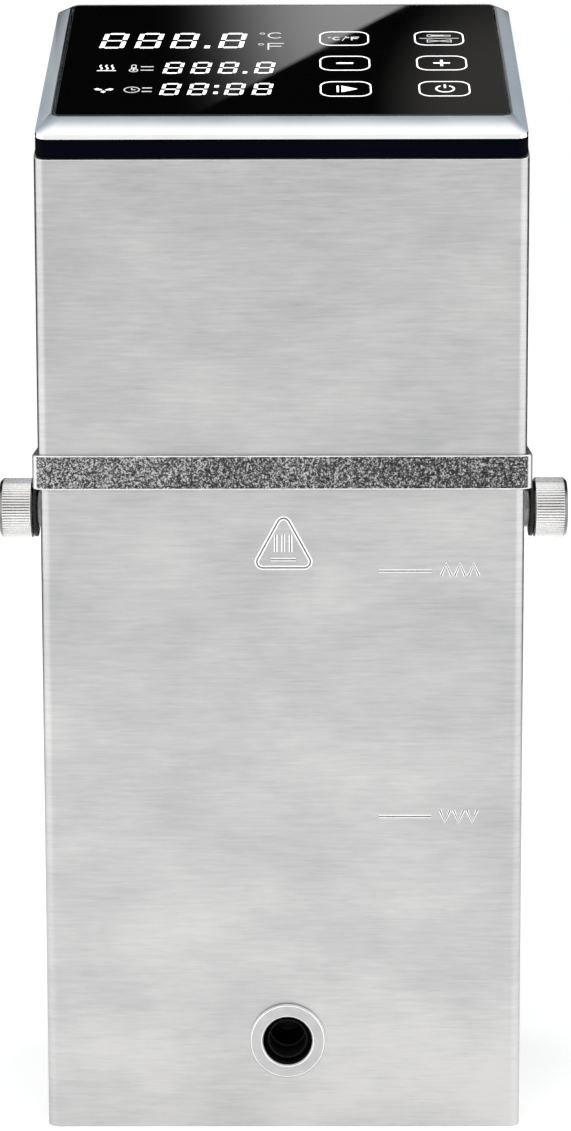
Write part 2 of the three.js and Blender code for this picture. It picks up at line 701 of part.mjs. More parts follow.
function impeller() {
  const { radius, hub, blades, blade, plate, height } = IMPELLER;
  const high = IMPELLER_LOW + height;
  const back = disc(radius, high - plate, high, FINE);
  const centre = disc(hub, IMPELLER_LOW, high);
  const vanes = [];
  for (let i = 0; i < blades; i += 1) {
    const vane = box(hub - 1, radius - 1, -blade / 2, blade / 2, IMPELLER_LOW + 1, high - plate / 2);
    vanes.push(vane.rotateZ((i * 2 * Math.PI) / blades));
  }
  const bore = disc(SHAFT_RADIUS + GAP, IMPELLER_LOW - PIERCE, high + PIERCE);
  return mesh("impeller", cut(join(back, centre, ...vanes), bore), BLACK_PLASTIC);
}

function motorRotor() {
  const body = ring(SHAFT_RADIUS + GAP, ROTOR.radius - RUN_GAP / 2, ROTOR_LOW, ROTOR_LOW + ROTOR.length);
  return mesh("motor_rotor", body, ALUMINIUM);
}

function pumpGroup() {
  const group = new THREE.Group();
  group.position.set(PUMP.x, PUMP.y, 0);
  group.add(motorHousing(), ...motorStandoffs(), shaftSeal(), pumpColumn(), pumpVolute());
  group.add(pumpCover(), pumpShaft(), impeller(), motorRotor());
  return group;
}

// ---------------------------------------------------------------- heater, probe and float

// Where the coil's two legs pass the deck: beside the ring and between the ring and the pump.
function coilLegs() {
  return [
    { x: -COIL_HALF_X, y: -14 },
    { x: PUMP.x - LEG_INNER, y: PUMP.y },
  ];
}

function coilPath() {
  const [outer, inner] = coilLegs();
  const { start, short, stub, aboveTop, aboveBase, bend } = COIL_ENDS;
  const top = HOUSING_FLOOR + stub;
  const high = COIL.low + COIL.turns * COIL.pitch;
  const halfway = (top + high) / 2;
  const at = (leg, z, x = 0, y = 0) => new THREE.Vector3(leg.x + x, leg.y + y, z);
  const down = [at(outer, top), at(outer, halfway + bend), at(outer, high + aboveTop)];
  const ontoRing = at(outer, high + 10, 0, 2);
  const sweep = -2 * Math.PI * (COIL.turns - short);
  const count = COIL.steps * COIL.turns;
  const turns = Array.from({ length: count + 1 }, (_, i) => {
    const angle = start + (sweep * i) / count;
    const z = high - (i / count) * COIL.turns * COIL.pitch;
    return new THREE.Vector3(COIL_HALF_X * Math.cos(angle), COIL_HALF_Y * Math.sin(angle), z);
  });
  const offRing = [at(inner, COIL.low, -4, -14), at(inner, COIL.low + 7, 0, -3)];
  const up = [at(inner, COIL.low + aboveBase), at(inner, halfway), at(inner, top)];
  return new THREE.CatmullRomCurve3([...down, ontoRing, ...turns, ...offRing, ...up], false, "centripetal");
}

function heaterCoil() {
  const section = new THREE.Shape(
    Array.from({ length: COIL_FACETS }, (_, i) => {
      const angle = ((i + 0.5) * 2 * Math.PI) / COIL_FACETS;
      return new THREE.Vector2(COIL.tube * Math.cos(angle), COIL.tube * Math.sin(angle));
    }),
  );
  const steps = COIL.steps * COIL.turns + LEG_STEPS;
  const tube = new THREE.ExtrudeGeometry(section, { steps, extrudePath: coilPath(), bevelEnabled: false });
  return mesh("heater_coil", tube, BRIGHT);
}

function heaterTerminals() {
  const { radius, length, pin, pinLength } = TERMINAL;
  const low = HOUSING_FLOOR + COIL_ENDS.stub + GAP;
  const neck = low + length;
  const high = neck + pinLength;
  return coilLegs().map(({ x, y }, i) => {
    const outline = [[0, low], [radius, low], [radius, neck], [pin, neck], [pin, high], [0, high]];
    const body = turned(outline, COARSE);
    return mesh("heater_terminal_" + (i + 1), body.translate(x, y, 0), CERAMIC);
  });
}

function heaterPlate() {
  const { width, depth, thickness, aside } = HEATER_PLATE;
  const high = DECK_LOW - GAP;
  const [outer, inner] = coilLegs();
  const x = (outer.x + inner.x) / 2 + aside;
  const y = (outer.y + inner.y) / 2;
  const low = high - thickness;
  const plate = box(x - width / 2, x + width / 2, y - depth / 2, y + depth / 2, low, high);
  const holes = coilLegs().map((leg) =>
    disc(COIL.tube + GAP, low - PIERCE, high + PIERCE).translate(leg.x, leg.y, 0),
  );
  return mesh("heater_flange", cut(plate, ...holes), DULL_STEEL);
}

function temperatureProbe() {
  const { x, y, radius, low } = PROBE;
  const rod = turned([
    [0, low],
    [radius - 1.5, low + 0.4],
    [radius, low + 2],
    [radius, DECK_LOW - 4],
    [radius + 3, DECK_LOW - 4],
    [radius + 3, DECK_LOW - GAP],
    [radius, DECK_LOW - GAP],
    [radius, DECK_TOP + 6],
    [0, DECK_TOP + 6],
  ]);
  return mesh("temperature_probe", rod.translate(x, y, 0), BRIGHT);
}

function floatStem() {
  const { x, y, stem, floor, low } = FLOAT;
  const stop = low - GAP;
  const rod = turned([
    [0, floor],
    [stem, floor],
    [stem, stop - 3],
    [stem + 3, stop - 3],
    [stem + 3, stop],
    [stem, stop],
    [stem, DECK_LOW - 4],
    [stem + 3, DECK_LOW - 4],
    [stem + 3, DECK_LOW - GAP],
    [stem, DECK_LOW - GAP],
    [stem, DECK_TOP + 6],
    [0, DECK_TOP + 6],
  ]);
  return mesh("float_stem", rod.translate(x, y, 0), DULL_STEEL);
}

function floatStop() {
  const low = FLOAT.low + FLOAT.length + FLOAT.travel + GAP;
  const clip = ring(FLOAT.stem + GAP, FLOAT.stem + 3, low, low + 1.5);
  return mesh("float_stop_clip", clip.translate(FLOAT.x, FLOAT.y, 0), DULL_STEEL);
}

function levelFloat() {
  const { x, y, stem, radius, length, low } = FLOAT;
  const inner = stem + RUN_GAP;
  const body = turned([
    [inner, low],
    [radius - 2, low],
    [radius, low + 2],
    [radius, low + length - 2],
    [radius - 2, low + length],
    [inner, low + length],
    [inner, low],
  ]);
  return mesh("level_float", body.translate(x, y, 0), WHITE_PLASTIC);
}

// ---------------------------------------------------------------- boards, fan and inlet

function sideBoard(name, side) {
  const outer = side * (SIDE - SHEET - BOARD.fromWall);
  const inner = outer - side * BOARD.thickness;
  const [x0, x1] = [Math.min(outer, inner), Math.max(outer, inner)];
  const y0 = FRONT + BOARD.fromFront;
  return mesh(name, box(x0, x1, y0, y0 + BOARD.depth, BOARD_LOW, BOARD_LOW + BOARD.height), BOARD_GREEN);
}

function boardFace(side) {
  return side * (SIDE - SHEET - BOARD.fromWall - BOARD.thickness - GAP);
}

function heatSink() {
  const { fins, fin, pitch, depth, base, height, lift } = HEAT_SINK;
  const face = boardFace(-1);
  const span = (fins - 1) * pitch + fin;
  const low = BOARD_LOW + lift;
  const plate = box(face, face + base, -span / 2, span / 2, low, low + height);
  const blades = [];
  for (let i = 0; i < fins; i += 1) {
    const y = -span / 2 + i * pitch;
    blades.push(box(face + base / 2, face + base + depth, y, y + fin, low, low + height));
  }
  return mesh("heat_sink", join(plate, ...blades), ALUMINIUM);
}

function relay() {
  const face = boardFace(1);
  const { width, depth, height } = RELAY;
  const low = BOARD_LOW + BOARD.height - height - 4;
  const body = prism(roundedRect(width, height, 1), 0, depth, 1);
  body.rotateY(-Math.PI / 2).rotateX(Math.PI / 2).translate(face, FRONT + 40, low + height / 2);
  return mesh("relay", body, BLACK_PLASTIC);
}

const FAN_BACK = BACK - SHEET - GAP;

function fanFrame() {
  const { size, depth, bore, boss } = FAN;
  const frame = prism(roundedRect(size, size, 3), 0, depth);
  const hole = disc(bore, 2, depth + 1, FINE);
  const rearOpen = ring(boss + 2, bore, -1, 3, MEDIUM);
  const struts = [0, 1, 2].map((i) =>
    box(boss, bore + 0.5, -1.5, 1.5, 0, 1.7).rotateZ((i * 2 * Math.PI) / 3 + Math.PI / 6),
  );
  const made = mesh("fan_frame", join(cut(frame, hole, rearOpen), ...struts), MATT_BLACK);
  made.rotation.x = Math.PI / 2;
  made.position.set(0, FAN_BACK, FAN_HEIGHT);
  return made;
}

function fanRotor() {
  const { depth, bore, hub, blades, blade } = FAN;
  const centre = disc(hub, 2 + GAP, depth - 0.5);
  const vanes = [];
  for (let i = 0; i < blades; i += 1) {
    const vane = box(hub - 1, bore - 1, -blade / 2, blade / 2, -3, 3).rotateX(0.6);
    vanes.push(vane.translate(0, 0, 2 + depth / 2 - 1).rotateZ((i * 2 * Math.PI) / blades));
  }
  const made = mesh("fan_rotor", join(centre, ...vanes), BLACK_PLASTIC);
  made.rotation.x = Math.PI / 2;
  made.position.set(0, FAN_BACK, FAN_HEIGHT);
  return made;
}

function inletSocket() {
  const { width, tall, flange, body, rim, wall, floor, x } = INLET;
  const pin = INLET_PIN;
  const plate = prism(roundedRect(width + 2 * rim, tall + 2 * rim, 3), GAP, flange);
  const insert = prism(roundedRect(width, tall, 2), -body, flange / 2);
  const well = prism(roundedRect(width - 2 * wall, tall - 2 * wall, 2), floor - body, flange + PIERCE);
  const pins = [-1, 0, 1].map((i) => {
    const blade = box(-pin.width / 2, pin.width / 2, -pin.tall / 2, pin.tall / 2, wall - body, pin.tip);
    return blade.translate(i * pin.pitch, Math.abs(i) * pin.drop, 0);
  });
  const made = mesh("mains_inlet", join(cut(join(plate, insert), well), ...pins), MATT_BLACK);
  made.rotation.x = -Math.PI / 2;
  made.position.set(x, BACK, INLET_HEIGHT);
  return made;
}

// ---------------------------------------------------------------- rear clamp

const LEG_FRONT = BACK + CLAMP.jaw + STRAP_THICKNESS;
const LEG_BACK = LEG_FRONT + CLAMP.sheet;

function clampBracket() {
  const { width, sheet, leg } = CLAMP;
  const [low, top] = [CLAMP_LOW, CLAMP_TOP];
  const bend = 4;
  const outline = new THREE.Shape();
  outline.moveTo(BACK + GAP, low);
  outline.lineTo(BACK + GAP + sheet, low);
  outline.lineTo(BACK + GAP + sheet, top - sheet);
  outline.lineTo(LEG_FRONT, top - sheet);
  outline.lineTo(LEG_FRONT, top - leg);
  outline.lineTo(LEG_BACK, top - leg);
  outline.lineTo(LEG_BACK, top - bend);
  outline.absarc(LEG_BACK - bend, top - bend, bend, 0, Math.PI / 2);
  outline.lineTo(BACK + GAP + bend, top);
  outline.absarc(BACK + GAP + bend, top - bend, bend, Math.PI / 2, Math.PI);
  outline.closePath();
  const plate = prism(outline, -width / 2, width / 2, 4);
  plate.rotateX(Math.PI / 2).rotateZ(Math.PI / 2);
  const hole = backHole(CLAMP_SCREW.radius + RUN_GAP, 0, CLAMP_SCREW_HEIGHT, LEG_FRONT - 2, LEG_BACK + 2);
  const screwHoles = bracketScrewSpots().map(({ x, z }) =>
    backHole(BRACKET_SCREW.shank + GAP, x, z, BACK - 1, BACK + sheet + 2),
  );
  return mesh("clamp_bracket", cut(plate, hole, ...screwHoles), BRUSHED);
}

function bracketScrews() {
  const face = BACK + GAP + CLAMP.sheet + GAP;
  const { radius, head, shank, shankLength } = BRACKET_SCREW;
  return bracketScrewSpots().map(({ x, z }, i) => {
    const body = turned(
      [
        [0, -shankLength],
        [shank, -shankLength],
        [shank, 0],
        [radius, 0],
        [radius, head * 0.5],
        [radius * 0.6, head],
        [0, head],
      ],
      COARSE,
    );
    const made = mesh("bracket_screw_" + (i + 1), body, BRIGHT);
    made.rotation.x = -Math.PI / 2;
    made.position.set(x, face, z);
    return made;
  });
}

// Pieces on the clamp screw are turned about Z and laid along +Y at the screw's height.
function onClampAxis(name, geometry, look) {
  const made = mesh(name, geometry, look);
  made.rotation.x = -Math.PI / 2;
  made.position.z = CLAMP_SCREW_HEIGHT;
  return made;
}

const PAD_BACK = LEG_FRONT - CLAMP_SCREW.outward - RUN_GAP;
const PAD_FACE = PAD_BACK - PAD.thickness - PAD.socketLength;
const KNOB_LOW = LEG_BACK + GAP + CLAMP_NUT.length + CLAMP_SCREW.inward + RUN_GAP;
const NECK_RADIUS = 2.4;

function clampPad() {
  const disk = PAD_FACE + PAD.thickness;
  const inner = NECK_RADIUS + RUN_GAP;
  const body = turned(
    [
      [0, PAD_FACE],
      [PAD.radius - 1, PAD_FACE],
      [PAD.radius, PAD_FACE + 1],
      [PAD.radius, disk],
      [PAD.socket, disk],
      [PAD.socket, PAD_BACK],
      [inner, PAD_BACK],
      [inner, disk],
      [0, disk],
    ],
    MEDIUM,
  );
  return onClampAxis("clamp_pad", body, RUBBER);
}

function clampScrew() {
  const { radius } = CLAMP_SCREW;
  const low = PAD_FACE + PAD.thickness + GAP;
  const high = KNOB_LOW + CLAMP_KNOB.length - CLAMP_KNOB.cap;
  const body = turned([
    [0, low],
    [NECK_RADIUS, low],
    [NECK_RADIUS, PAD_BACK + GAP],
    [radius, PAD_BACK + GAP],
    [radius, high],
    [0, high],
  ]);
  return onClampAxis("clamp_screw", body, BRIGHT);
}

function clampNut() {
  const low = LEG_BACK + GAP;
  const hole = CLAMP_SCREW.radius + RUN_GAP;
  const nut = hexNut(2 * CLAMP_NUT.radius, hole, low, low + CLAMP_NUT.length);
  return onClampAxis("clamp_nut", nut, DULL_STEEL);
}

function clampKnob() {
  const { radius, length, cap, foot, rim } = CLAMP_KNOB;
  const high = KNOB_LOW + length;
  const body = turned(
    [
      [0, KNOB_LOW],
      [radius - foot, KNOB_LOW],
      [radius, KNOB_LOW + rim],
      [radius, high - rim],
      [radius - rim, high],
      [0, high],
    ],
    FINE,
  );
  const dents = [];
  for (let i = 0; i < KNOB_DENTS.count; i += 1) {
    const angle = ((i + 0.5) * 2 * Math.PI) / KNOB_DENTS.count;
    const dent = disc(KNOB_DENTS.radius, KNOB_LOW - PIERCE, high + PIERCE);
    dents.push(dent.translate(KNOB_DENTS.reach * Math.cos(angle), KNOB_DENTS.reach * Math.sin(angle), 0));
  }
  const bore = disc(CLAMP_SCREW.radius + GAP, KNOB_LOW - PIERCE, high - cap + GAP);
  return onClampAxis("clamp_knob", cut(body, bore, ...dents), MATT_BLACK);
}

function wallBumpers() {
  return [-1, 1].map((side) => {
    const { radius, thickness, chamfer } = BUMPER;
    const stem = radius / 2 - GAP;
    const end = -SHEET - BUMPER.plug;
    const body = turned([
      [0, end],
      [stem, end],
      [stem, GAP],
      [radius, GAP],
      [radius, thickness - chamfer],
      [radius - chamfer, thickness],
      [0, thickness],
    ]);
    const made = mesh(side < 0 ? "wall_bumper_left" : "wall_bumper_right", body, RUBBER);
    made.rotation.x = -Math.PI / 2;
    made.position.set(side * BUMPER.spanX, SLEEVE_BACK, BUMPER.height);
    return made;
  });
}

// ---------------------------------------------------------------- assembly

const circulator = new THREE.Group();
circulator.add(upperHousing(), panelHead(), collarStrap(), innerDeck(), deckGasket());
circulator.add(lowerSleeve(), basePlate(), outletRing(), outletGrommet(), ...wallBumpers());
circulator.add(thumbScrew(-1, "left"), thumbScrew(1, "right"), weldNut(-1, "left"), weldNut(1, "right"));
circulator.add(pumpGroup());
circulator.add(heaterCoil(), heaterPlate(), ...heaterTerminals(), temperatureProbe());
circulator.add(floatStem(), floatStop(), levelFloat());
circulator.add(sideBoard("power_board", -1), sideBoard("control_board", 1), heatSink(), relay());
circulator.add(fanFrame(), fanRotor(), inletSocket());
circulator.add(clampBracket(), ...bracketScrews(), clampNut(), clampPad(), clampScrew(), clampKnob());

export default circulator;
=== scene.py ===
"""The looks of a clamp-on sous vide circulator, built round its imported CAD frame.

Metres, +Z up, the front faces -Y. The CAD nodes keep their shape and get node materials and soft
edges; round pieces, knurls, threads, the panel's print and the engraved marks are built here.
"""

import json
import math

import bpy
from mathutils import Matrix, Vector

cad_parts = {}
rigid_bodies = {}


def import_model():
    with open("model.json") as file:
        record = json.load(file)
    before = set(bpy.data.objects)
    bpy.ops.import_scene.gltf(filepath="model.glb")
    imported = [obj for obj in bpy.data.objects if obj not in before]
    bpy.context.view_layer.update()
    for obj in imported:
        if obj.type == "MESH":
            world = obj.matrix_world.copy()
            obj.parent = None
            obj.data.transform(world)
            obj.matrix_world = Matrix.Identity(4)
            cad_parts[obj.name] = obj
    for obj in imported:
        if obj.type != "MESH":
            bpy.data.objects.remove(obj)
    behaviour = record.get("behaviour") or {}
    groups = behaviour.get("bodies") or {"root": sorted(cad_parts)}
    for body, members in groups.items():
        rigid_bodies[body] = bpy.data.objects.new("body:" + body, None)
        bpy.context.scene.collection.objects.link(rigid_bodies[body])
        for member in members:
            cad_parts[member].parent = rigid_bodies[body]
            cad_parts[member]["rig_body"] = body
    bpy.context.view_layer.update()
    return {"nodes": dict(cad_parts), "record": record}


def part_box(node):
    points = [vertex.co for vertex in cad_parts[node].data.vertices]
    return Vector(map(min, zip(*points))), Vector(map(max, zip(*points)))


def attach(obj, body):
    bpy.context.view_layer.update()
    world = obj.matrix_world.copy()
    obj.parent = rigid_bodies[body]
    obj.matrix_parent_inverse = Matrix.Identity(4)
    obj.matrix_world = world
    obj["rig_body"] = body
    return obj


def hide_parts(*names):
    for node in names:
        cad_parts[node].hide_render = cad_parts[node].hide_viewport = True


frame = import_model()

NODES = frame["nodes"]
MM = 0.001
TAU = 2 * math.pi


# ---------------------------------------- node graphs

class Graph:
    """Builds a material's or a world's node tree."""

    def __init__(self, tree):
        self.tree = tree
        tree.nodes.clear()

    def add(self, kind, inputs=None, **settings):
        node = self.tree.nodes.new(kind)
        for name, value in settings.items():
            setattr(node, name, value)
        for name, value in (inputs or {}).items():
            self.feed(node.inputs[name], value)
        return node

    def feed(self, socket, value):
        if isinstance(value, bpy.types.Node):
            value = value.outputs[0]
        if isinstance(value, bpy.types.NodeSocket):
            self.tree.links.new(value, socket)
        else:
            socket.default_value = value

    def place(self, scale=(1, 1, 1)):
        """Object coordinates in metres, times scale."""
        coordinates = self.add("ShaderNodeTexCoord").outputs["Object"]
        return self.add("ShaderNodeMapping", {"Vector": coordinates, "Scale": scale})

    def noise(self, scale, detail=3, roughness=0.55):
        """Noise with this many cells a metre along each axis."""
        scale = scale if hasattr(scale, "__len__") else (scale,) * 3
        inputs = {
            "Vector": self.place(scale),
            "Scale": 1,
            "Detail": detail,
            "Roughness": roughness,
        }
        return self.add("ShaderNodeTexNoise", inputs).outputs["Fac"]

    def math(self, operation, a, b=0.0):
        return self.add("ShaderNodeMath", {0: a, 1: b}, operation=operation)

    def ranged(self, value, low, high, to_low=0.0, to_high=1.0, curve="LINEAR"):
        """A value's range low to high carried over to to_low to to_high, and held at its ends."""
        inputs = {0: value, 1: low, 2: high, 3: to_low, 4: to_high}
        return self.add("ShaderNodeMapRange", inputs, interpolation_type=curve)

    def ramp(self, value, *stops):
        """Colours along a value: each stop is (place, colour)."""
        node = self.add("ShaderNodeValToRGB", {0: value})
        bands = node.color_ramp.elements
        while len(bands) < len(stops):
            bands.new(1)
        for band, (at, colour) in zip(bands, stops):
            band.position = at
            band.color = (*colour, 1)
        return node.outputs["Color"]

    def blend(self, share, a, b):
        """Colour a where the share is 0 and colour b where it is 1."""
        node = self.add("ShaderNodeMix", {0: share}, data_type="RGBA")
        for socket, colour in zip(node.inputs[6:8], (a, b)):
            self.feed(socket, (*colour, 1) if isinstance(colour, tuple) else colour)
        return node.outputs[2]

    def bump(self, height, strength, distance):
        inputs = {"Height": height, "Strength": strength, "Distance": distance}
        return self.add("ShaderNodeBump", inputs)


def material(name, paint):
    """A material whose shader's sockets are what paint(graph) gives."""
    made = bpy.data.materials.new(name)
    made.use_nodes = True
    graph = Graph(made.node_tree)
    shader = graph.add("ShaderNodeBsdfPrincipled", paint(graph))
    output = graph.add("ShaderNodeOutputMaterial")
    graph.feed(output.inputs["Surface"], shader)
    return made


def grey(level, warmth=0.0):
    """A near-neutral colour; warmth above 0 leans to yellow, below 0 to blue."""
    return (level * (1 + warmth), level, level * (1 - warmth))


# ---------------------------------------- materials

# Painted light: below this height the steel's colour lightens towards the base, standing for the floor's
# bounce.
FLOOR_BOUNCE_TOP = 0.11  # metres above the base where the steel starts to lighten downwards


def brushed_steel(g):
    """Sheet steel brushed level: long fine scratches, slow clouds in tone, and a painted floor reflection
    that lightens it low down.
    """
    fine = g.noise((80, 80, 2100), detail=4, roughness=0.7)
    streak = g.noise((150, 150, 900), detail=3, roughness=0.6)
    cloud = g.noise((22, 22, 34), detail=4)
    grain = g.math("ADD", g.math("MULTIPLY", fine, 0.6), g.math("MULTIPLY", streak, 0.4))
    tone = g.math("ADD", g.math("MULTIPLY", grain, 0.5), g.math("MULTIPLY", cloud, 0.5))
    height = g.add("ShaderNodeSeparateXYZ", {0: g.place()}).outputs["Z"]
    # painted reflection of the floor, lightening the colour towards the base
    painted_floor_bounce = g.ranged(height, FLOOR_BOUNCE_TOP, 0.0, 0.0, 0.07, "SMOOTHSTEP")
    dark, middle_tone, light = grey(0.385, -0.003), grey(0.47, 0.002), grey(0.56, 0.01)
    return {
        "Base Color": g.ramp(
            g.math("ADD", tone, painted_floor_bounce), (0.36, dark), (0.5, middle_tone), (0.64, light)
        ),
        "Metallic": 1.0,
        "Roughness": g.ranged(grain, 0.3, 0.7, 0.27, 0.4),
        "Anisotropic": 0.6,
        "Anisotropic Rotation": 0.25,
        "Tangent": g.add("ShaderNodeTangent", direction_type="RADIAL", axis="Z"),
        "Normal": g.bump(grain, 0.12, 0.05 * MM),
    }


def polished(dark, light):
    """Satin-polished metal with faint wipe marks."""
    def paint(g):
        haze = g.noise(55, detail=4)
        wipe = g.noise((900, 120, 120), detail=2)
        return {
            "Base Color": g.ramp(haze, (0.3, dark), (0.7, light)),
            "Metallic": 1.0,
            "Roughness": g.ranged(haze, 0.3, 0.7, 0.12, 0.2),
            "Normal": g.bump(wipe, 0.05, 0.03 * MM),
        }
    return paint


def machined_steel(g):
    """Turned or stamped steel, duller, with short tool marks and stains."""
    mark = g.noise((500, 500, 1500), detail=4, roughness=0.65)
    stain = g.noise(70, detail=4)
    return {
        "Base Color": g.blend(stain, grey(0.38, 0.006), grey(0.54)),
        "Metallic": 1.0,
        "Roughness": g.ranged(mark, 0.3, 0.7, 0.24, 0.42),
        "Normal": g.bump(mark, 0.12, 0.04 * MM),
    }


def knurled_steel(g):
    """The thumb knobs' crowns: bright metal; the knurl's low places take a painted shade of their own."""
    speck = g.noise(900, detail=3)
    return {
        "Base Color": g.ramp(speck, (0.3, grey(0.7, 0.01)), (0.65, grey(0.8, 0.008))),
        "Metallic": 1.0,
        "Roughness": g.ranged(speck, 0.3, 0.7, 0.2, 0.3),
        "Normal": g.bump(speck, 0.05, 0.03 * MM),
    }


def painted_knurl_shade(g):
    """Painted shade for the bottoms of a knurl, with a fine speckle."""
    fine_speckle = g.noise(1600, detail=3)
    return {
        "Base Color": g.blend(fine_speckle, grey(0.05), grey(0.14, 0.01)),
        "Metallic": 0.8,
        "Roughness": g.ranged(fine_speckle, 0.3, 0.7, 0.45, 0.65),
    }


def mottled_metal(cells, tones, roughness, detail=3, bump=None):
    """Metal mottled in fine noise between two tones, for real finishes and for the painted lip highlight
    and groove shade alike; bump is a strength and a depth.
    """
    def paint(g):
        variation = g.noise(cells, detail=detail)
        dark, light = (grey(tone) for tone in tones)
        sockets = {
            "Base Color": g.ramp(variation, (0.3, dark), (0.7, light)),
            "Metallic": 1.0,
            "Roughness": g.ranged(variation, 0.3, 0.7, *roughness),
        }
        if bump:
            sockets["Normal"] = g.bump(variation, *bump)
        return sockets
    return paint


COLLAR_HALF = 0.065
# The strap's round corners get a painted highlight: bright steel colour where the corners catch the light.
CORNER_FACING = (0.66, 0.76, 0.88, 0.94)  # sideways share of a normal on the strap's round corners


def collar_metal(g):
    """Dark hammered paint in grains half a millimetre across, with painted shade towards +X and a painted
    highlight on the round corners.
    """
    grain = g.noise(2100, detail=2, roughness=0.6)
    fine_speckle = g.noise(4200, detail=1)
    patch = g.noise(40, detail=2)
    speckle = g.math("ADD", g.math("MULTIPLY", grain, 0.8), g.math("MULTIPLY", fine_speckle, 0.2))
    level = g.math("ADD", speckle, g.ranged(patch, 0.3, 0.7, -0.02, 0.02))
    across = g.add("ShaderNodeSeparateXYZ", {0: g.place()}).outputs["X"]
    # painted shade: the paint darkens towards +X, standing for the reflection falling off on the right
    level = g.math("ADD", level, g.ranged(across, -COLLAR_HALF, COLLAR_HALF, 0.01, -0.034))
    paint = g.ramp(level, (0.39, grey(0.008)), (0.5, grey(0.07)), (0.63, grey(0.5)))
    # painted highlight on the round corners, picked out by how far the normal turns sideways
    facing = g.add("ShaderNodeSeparateXYZ", {0: g.add("ShaderNodeTexCoord").outputs["Normal"]})
    sideways = g.math("ABSOLUTE", facing.outputs["X"])
    start, full, fading, end = CORNER_FACING
    corner = g.math("MULTIPLY", g.ranged(sideways, start, full), g.ranged(sideways, end, fading))
    painted_corner_highlight = g.math("MULTIPLY", corner, 0.9)
    return {
        "Base Color": g.blend(painted_corner_highlight, paint, grey(0.85)),
        "Metallic": 0.6,
        "Roughness": g.ranged(grain, 0.35, 0.65, 0.6, 0.4),
        "Coat Weight": 0.06,
        "Coat Roughness": 0.3,
        "Normal": g.bump(grain, 0.6, 0.2 * MM),
    }


def painted_edge_highlight(g):
    """A painted highlight: bright bare-steel colour on the bevelled edges, where they catch the light."""
    variation = g.noise(300, detail=3)
    return {
        "Base Color": g.ramp(variation, (0.35, grey(0.72)), (0.65, grey(0.9))),
        "Metallic": 1.0,
        "Roughness": g.ranged(variation, 0.3, 0.7, 0.22, 0.4),
    }


def brass(g):
    tarnish = g.noise(260, detail=4)
    return {
        "Base Color": g.blend(tarnish, (0.62, 0.44, 0.17), (0.82, 0.64, 0.3)),
        "Metallic": 1.0,
        "Roughness": g.ranged(tarnish, 0.3, 0.7, 0.22, 0.4),
    }


def aluminium(g):
    """Extruded or cast aluminium, with draw lines down its length."""
    draw = g.noise((1400, 1400, 40), detail=3)
    return {
        "Base Color": g.blend(draw, grey(0.46, -0.005), grey(0.62, -0.01)),
        "Metallic": 1.0,
        "Roughness": g.ranged(draw, 0.3, 0.7, 0.3, 0.48),
        "Normal": g.bump(draw, 0.15, 0.04 * MM),
    }


def black_glass(g):
    """Polished touch glass, black behind, with the faintest smears."""
    smear = g.noise((30, 60, 60), detail=3)
    return {
        "Base Color": g.blend(smear, grey(0.0007), (0.0014, 0.0014, 0.0013)),
        "Roughness": g.ranged(smear, 0.35, 0.65, 0.004, 0.016),
        "IOR": 1.5,
    }


def band_plastic(g):
    """The blue-black moulded band, satin with little shine."""
    skin = g.noise((40, 40, 300), detail=3)
    return {
        "Base Color": g.blend(skin, (0.0002, 0.0004, 0.0022), (0.0006, 0.001, 0.0042)),
        "Roughness": g.ranged(skin, 0.3, 0.7, 0.25, 0.4),
        "Specular IOR Level": 0.02,
    }


def moulded(dark, light, roughness, cells=1900, gloss=0.3):
    """Spark-textured mouldings."""
    def paint(g):
        spark = g.noise(cells, detail=2)
        flow = g.noise(60, detail=2)
        return {
            "Base Color": g.blend(flow, dark, light),
            "Roughness": g.ranged(spark, 0.3, 0.7, roughness - 0.07, roughness + 0.07),
            "Specular IOR Level": gloss,
            "Normal": g.bump(spark, 0.25, 0.06 * MM),
        }
    return paint


def circuit_board(g):
    """Green solder mask over right-angled tracks."""
    grid = {
        "Vector": g.place((260, 260, 260)),
        "Scale": 1,
        "Mortar Size": 0.035,
        "Brick Width": 1.7,
        "Row Height": 0.62,
    }
    tracks = g.add("ShaderNodeTexBrick", grid, offset=0.35).outputs["Fac"]
    mask = g.noise(400, detail=2)
    green = g.blend(mask, (0.012, 0.10, 0.045), (0.02, 0.14, 0.06))
    return {
        "Base Color": g.blend(tracks, green, (0.05, 0.27, 0.13)),
        "Roughness": g.ranged(mask, 0.3, 0.7, 0.28, 0.42),
        "Normal": g.bump(tracks, 0.3, 0.05 * MM),
    }


def ceramic(g):
    glaze = g.noise(220, detail=3)
    return {
        "Base Color": g.blend(glaze, (0.74, 0.69, 0.6), (0.86, 0.83, 0.76)),
        "Roughness": g.ranged(glaze, 0.3, 0.7, 0.25, 0.5),
        "Coat Weight": 0.3,
    }


def backlit(tones, roughness, glow_tones, strength):
    """Glowing print, as if lit from behind the glass."""
    def paint(g):
        spread = g.noise(700, detail=2)
        return {
            "Base Color": g.blend(spread, *(grey(tone) for tone in tones)),
            "Roughness": g.ranged(spread, 0.3, 0.7, *roughness),
            "Emission Color": g.blend(spread, *(grey(tone) for tone in glow_tones)),
            "Emission Strength": strength,
        }
    return paint


def floor_paint(g):
    """A pale seamless floor, barely mottled."""
    mottle = g.noise(9, detail=3)
    return {
        "Base Color": g.blend(mottle, grey(0.9), grey(0.93)),
        "Roughness": g.ranged(mottle, 0.3, 0.7, 0.7, 0.85),
        "Emission Color": g.blend(mottle, grey(0.96), grey(1.0)),
        "Emission Strength": 0.14,
    }


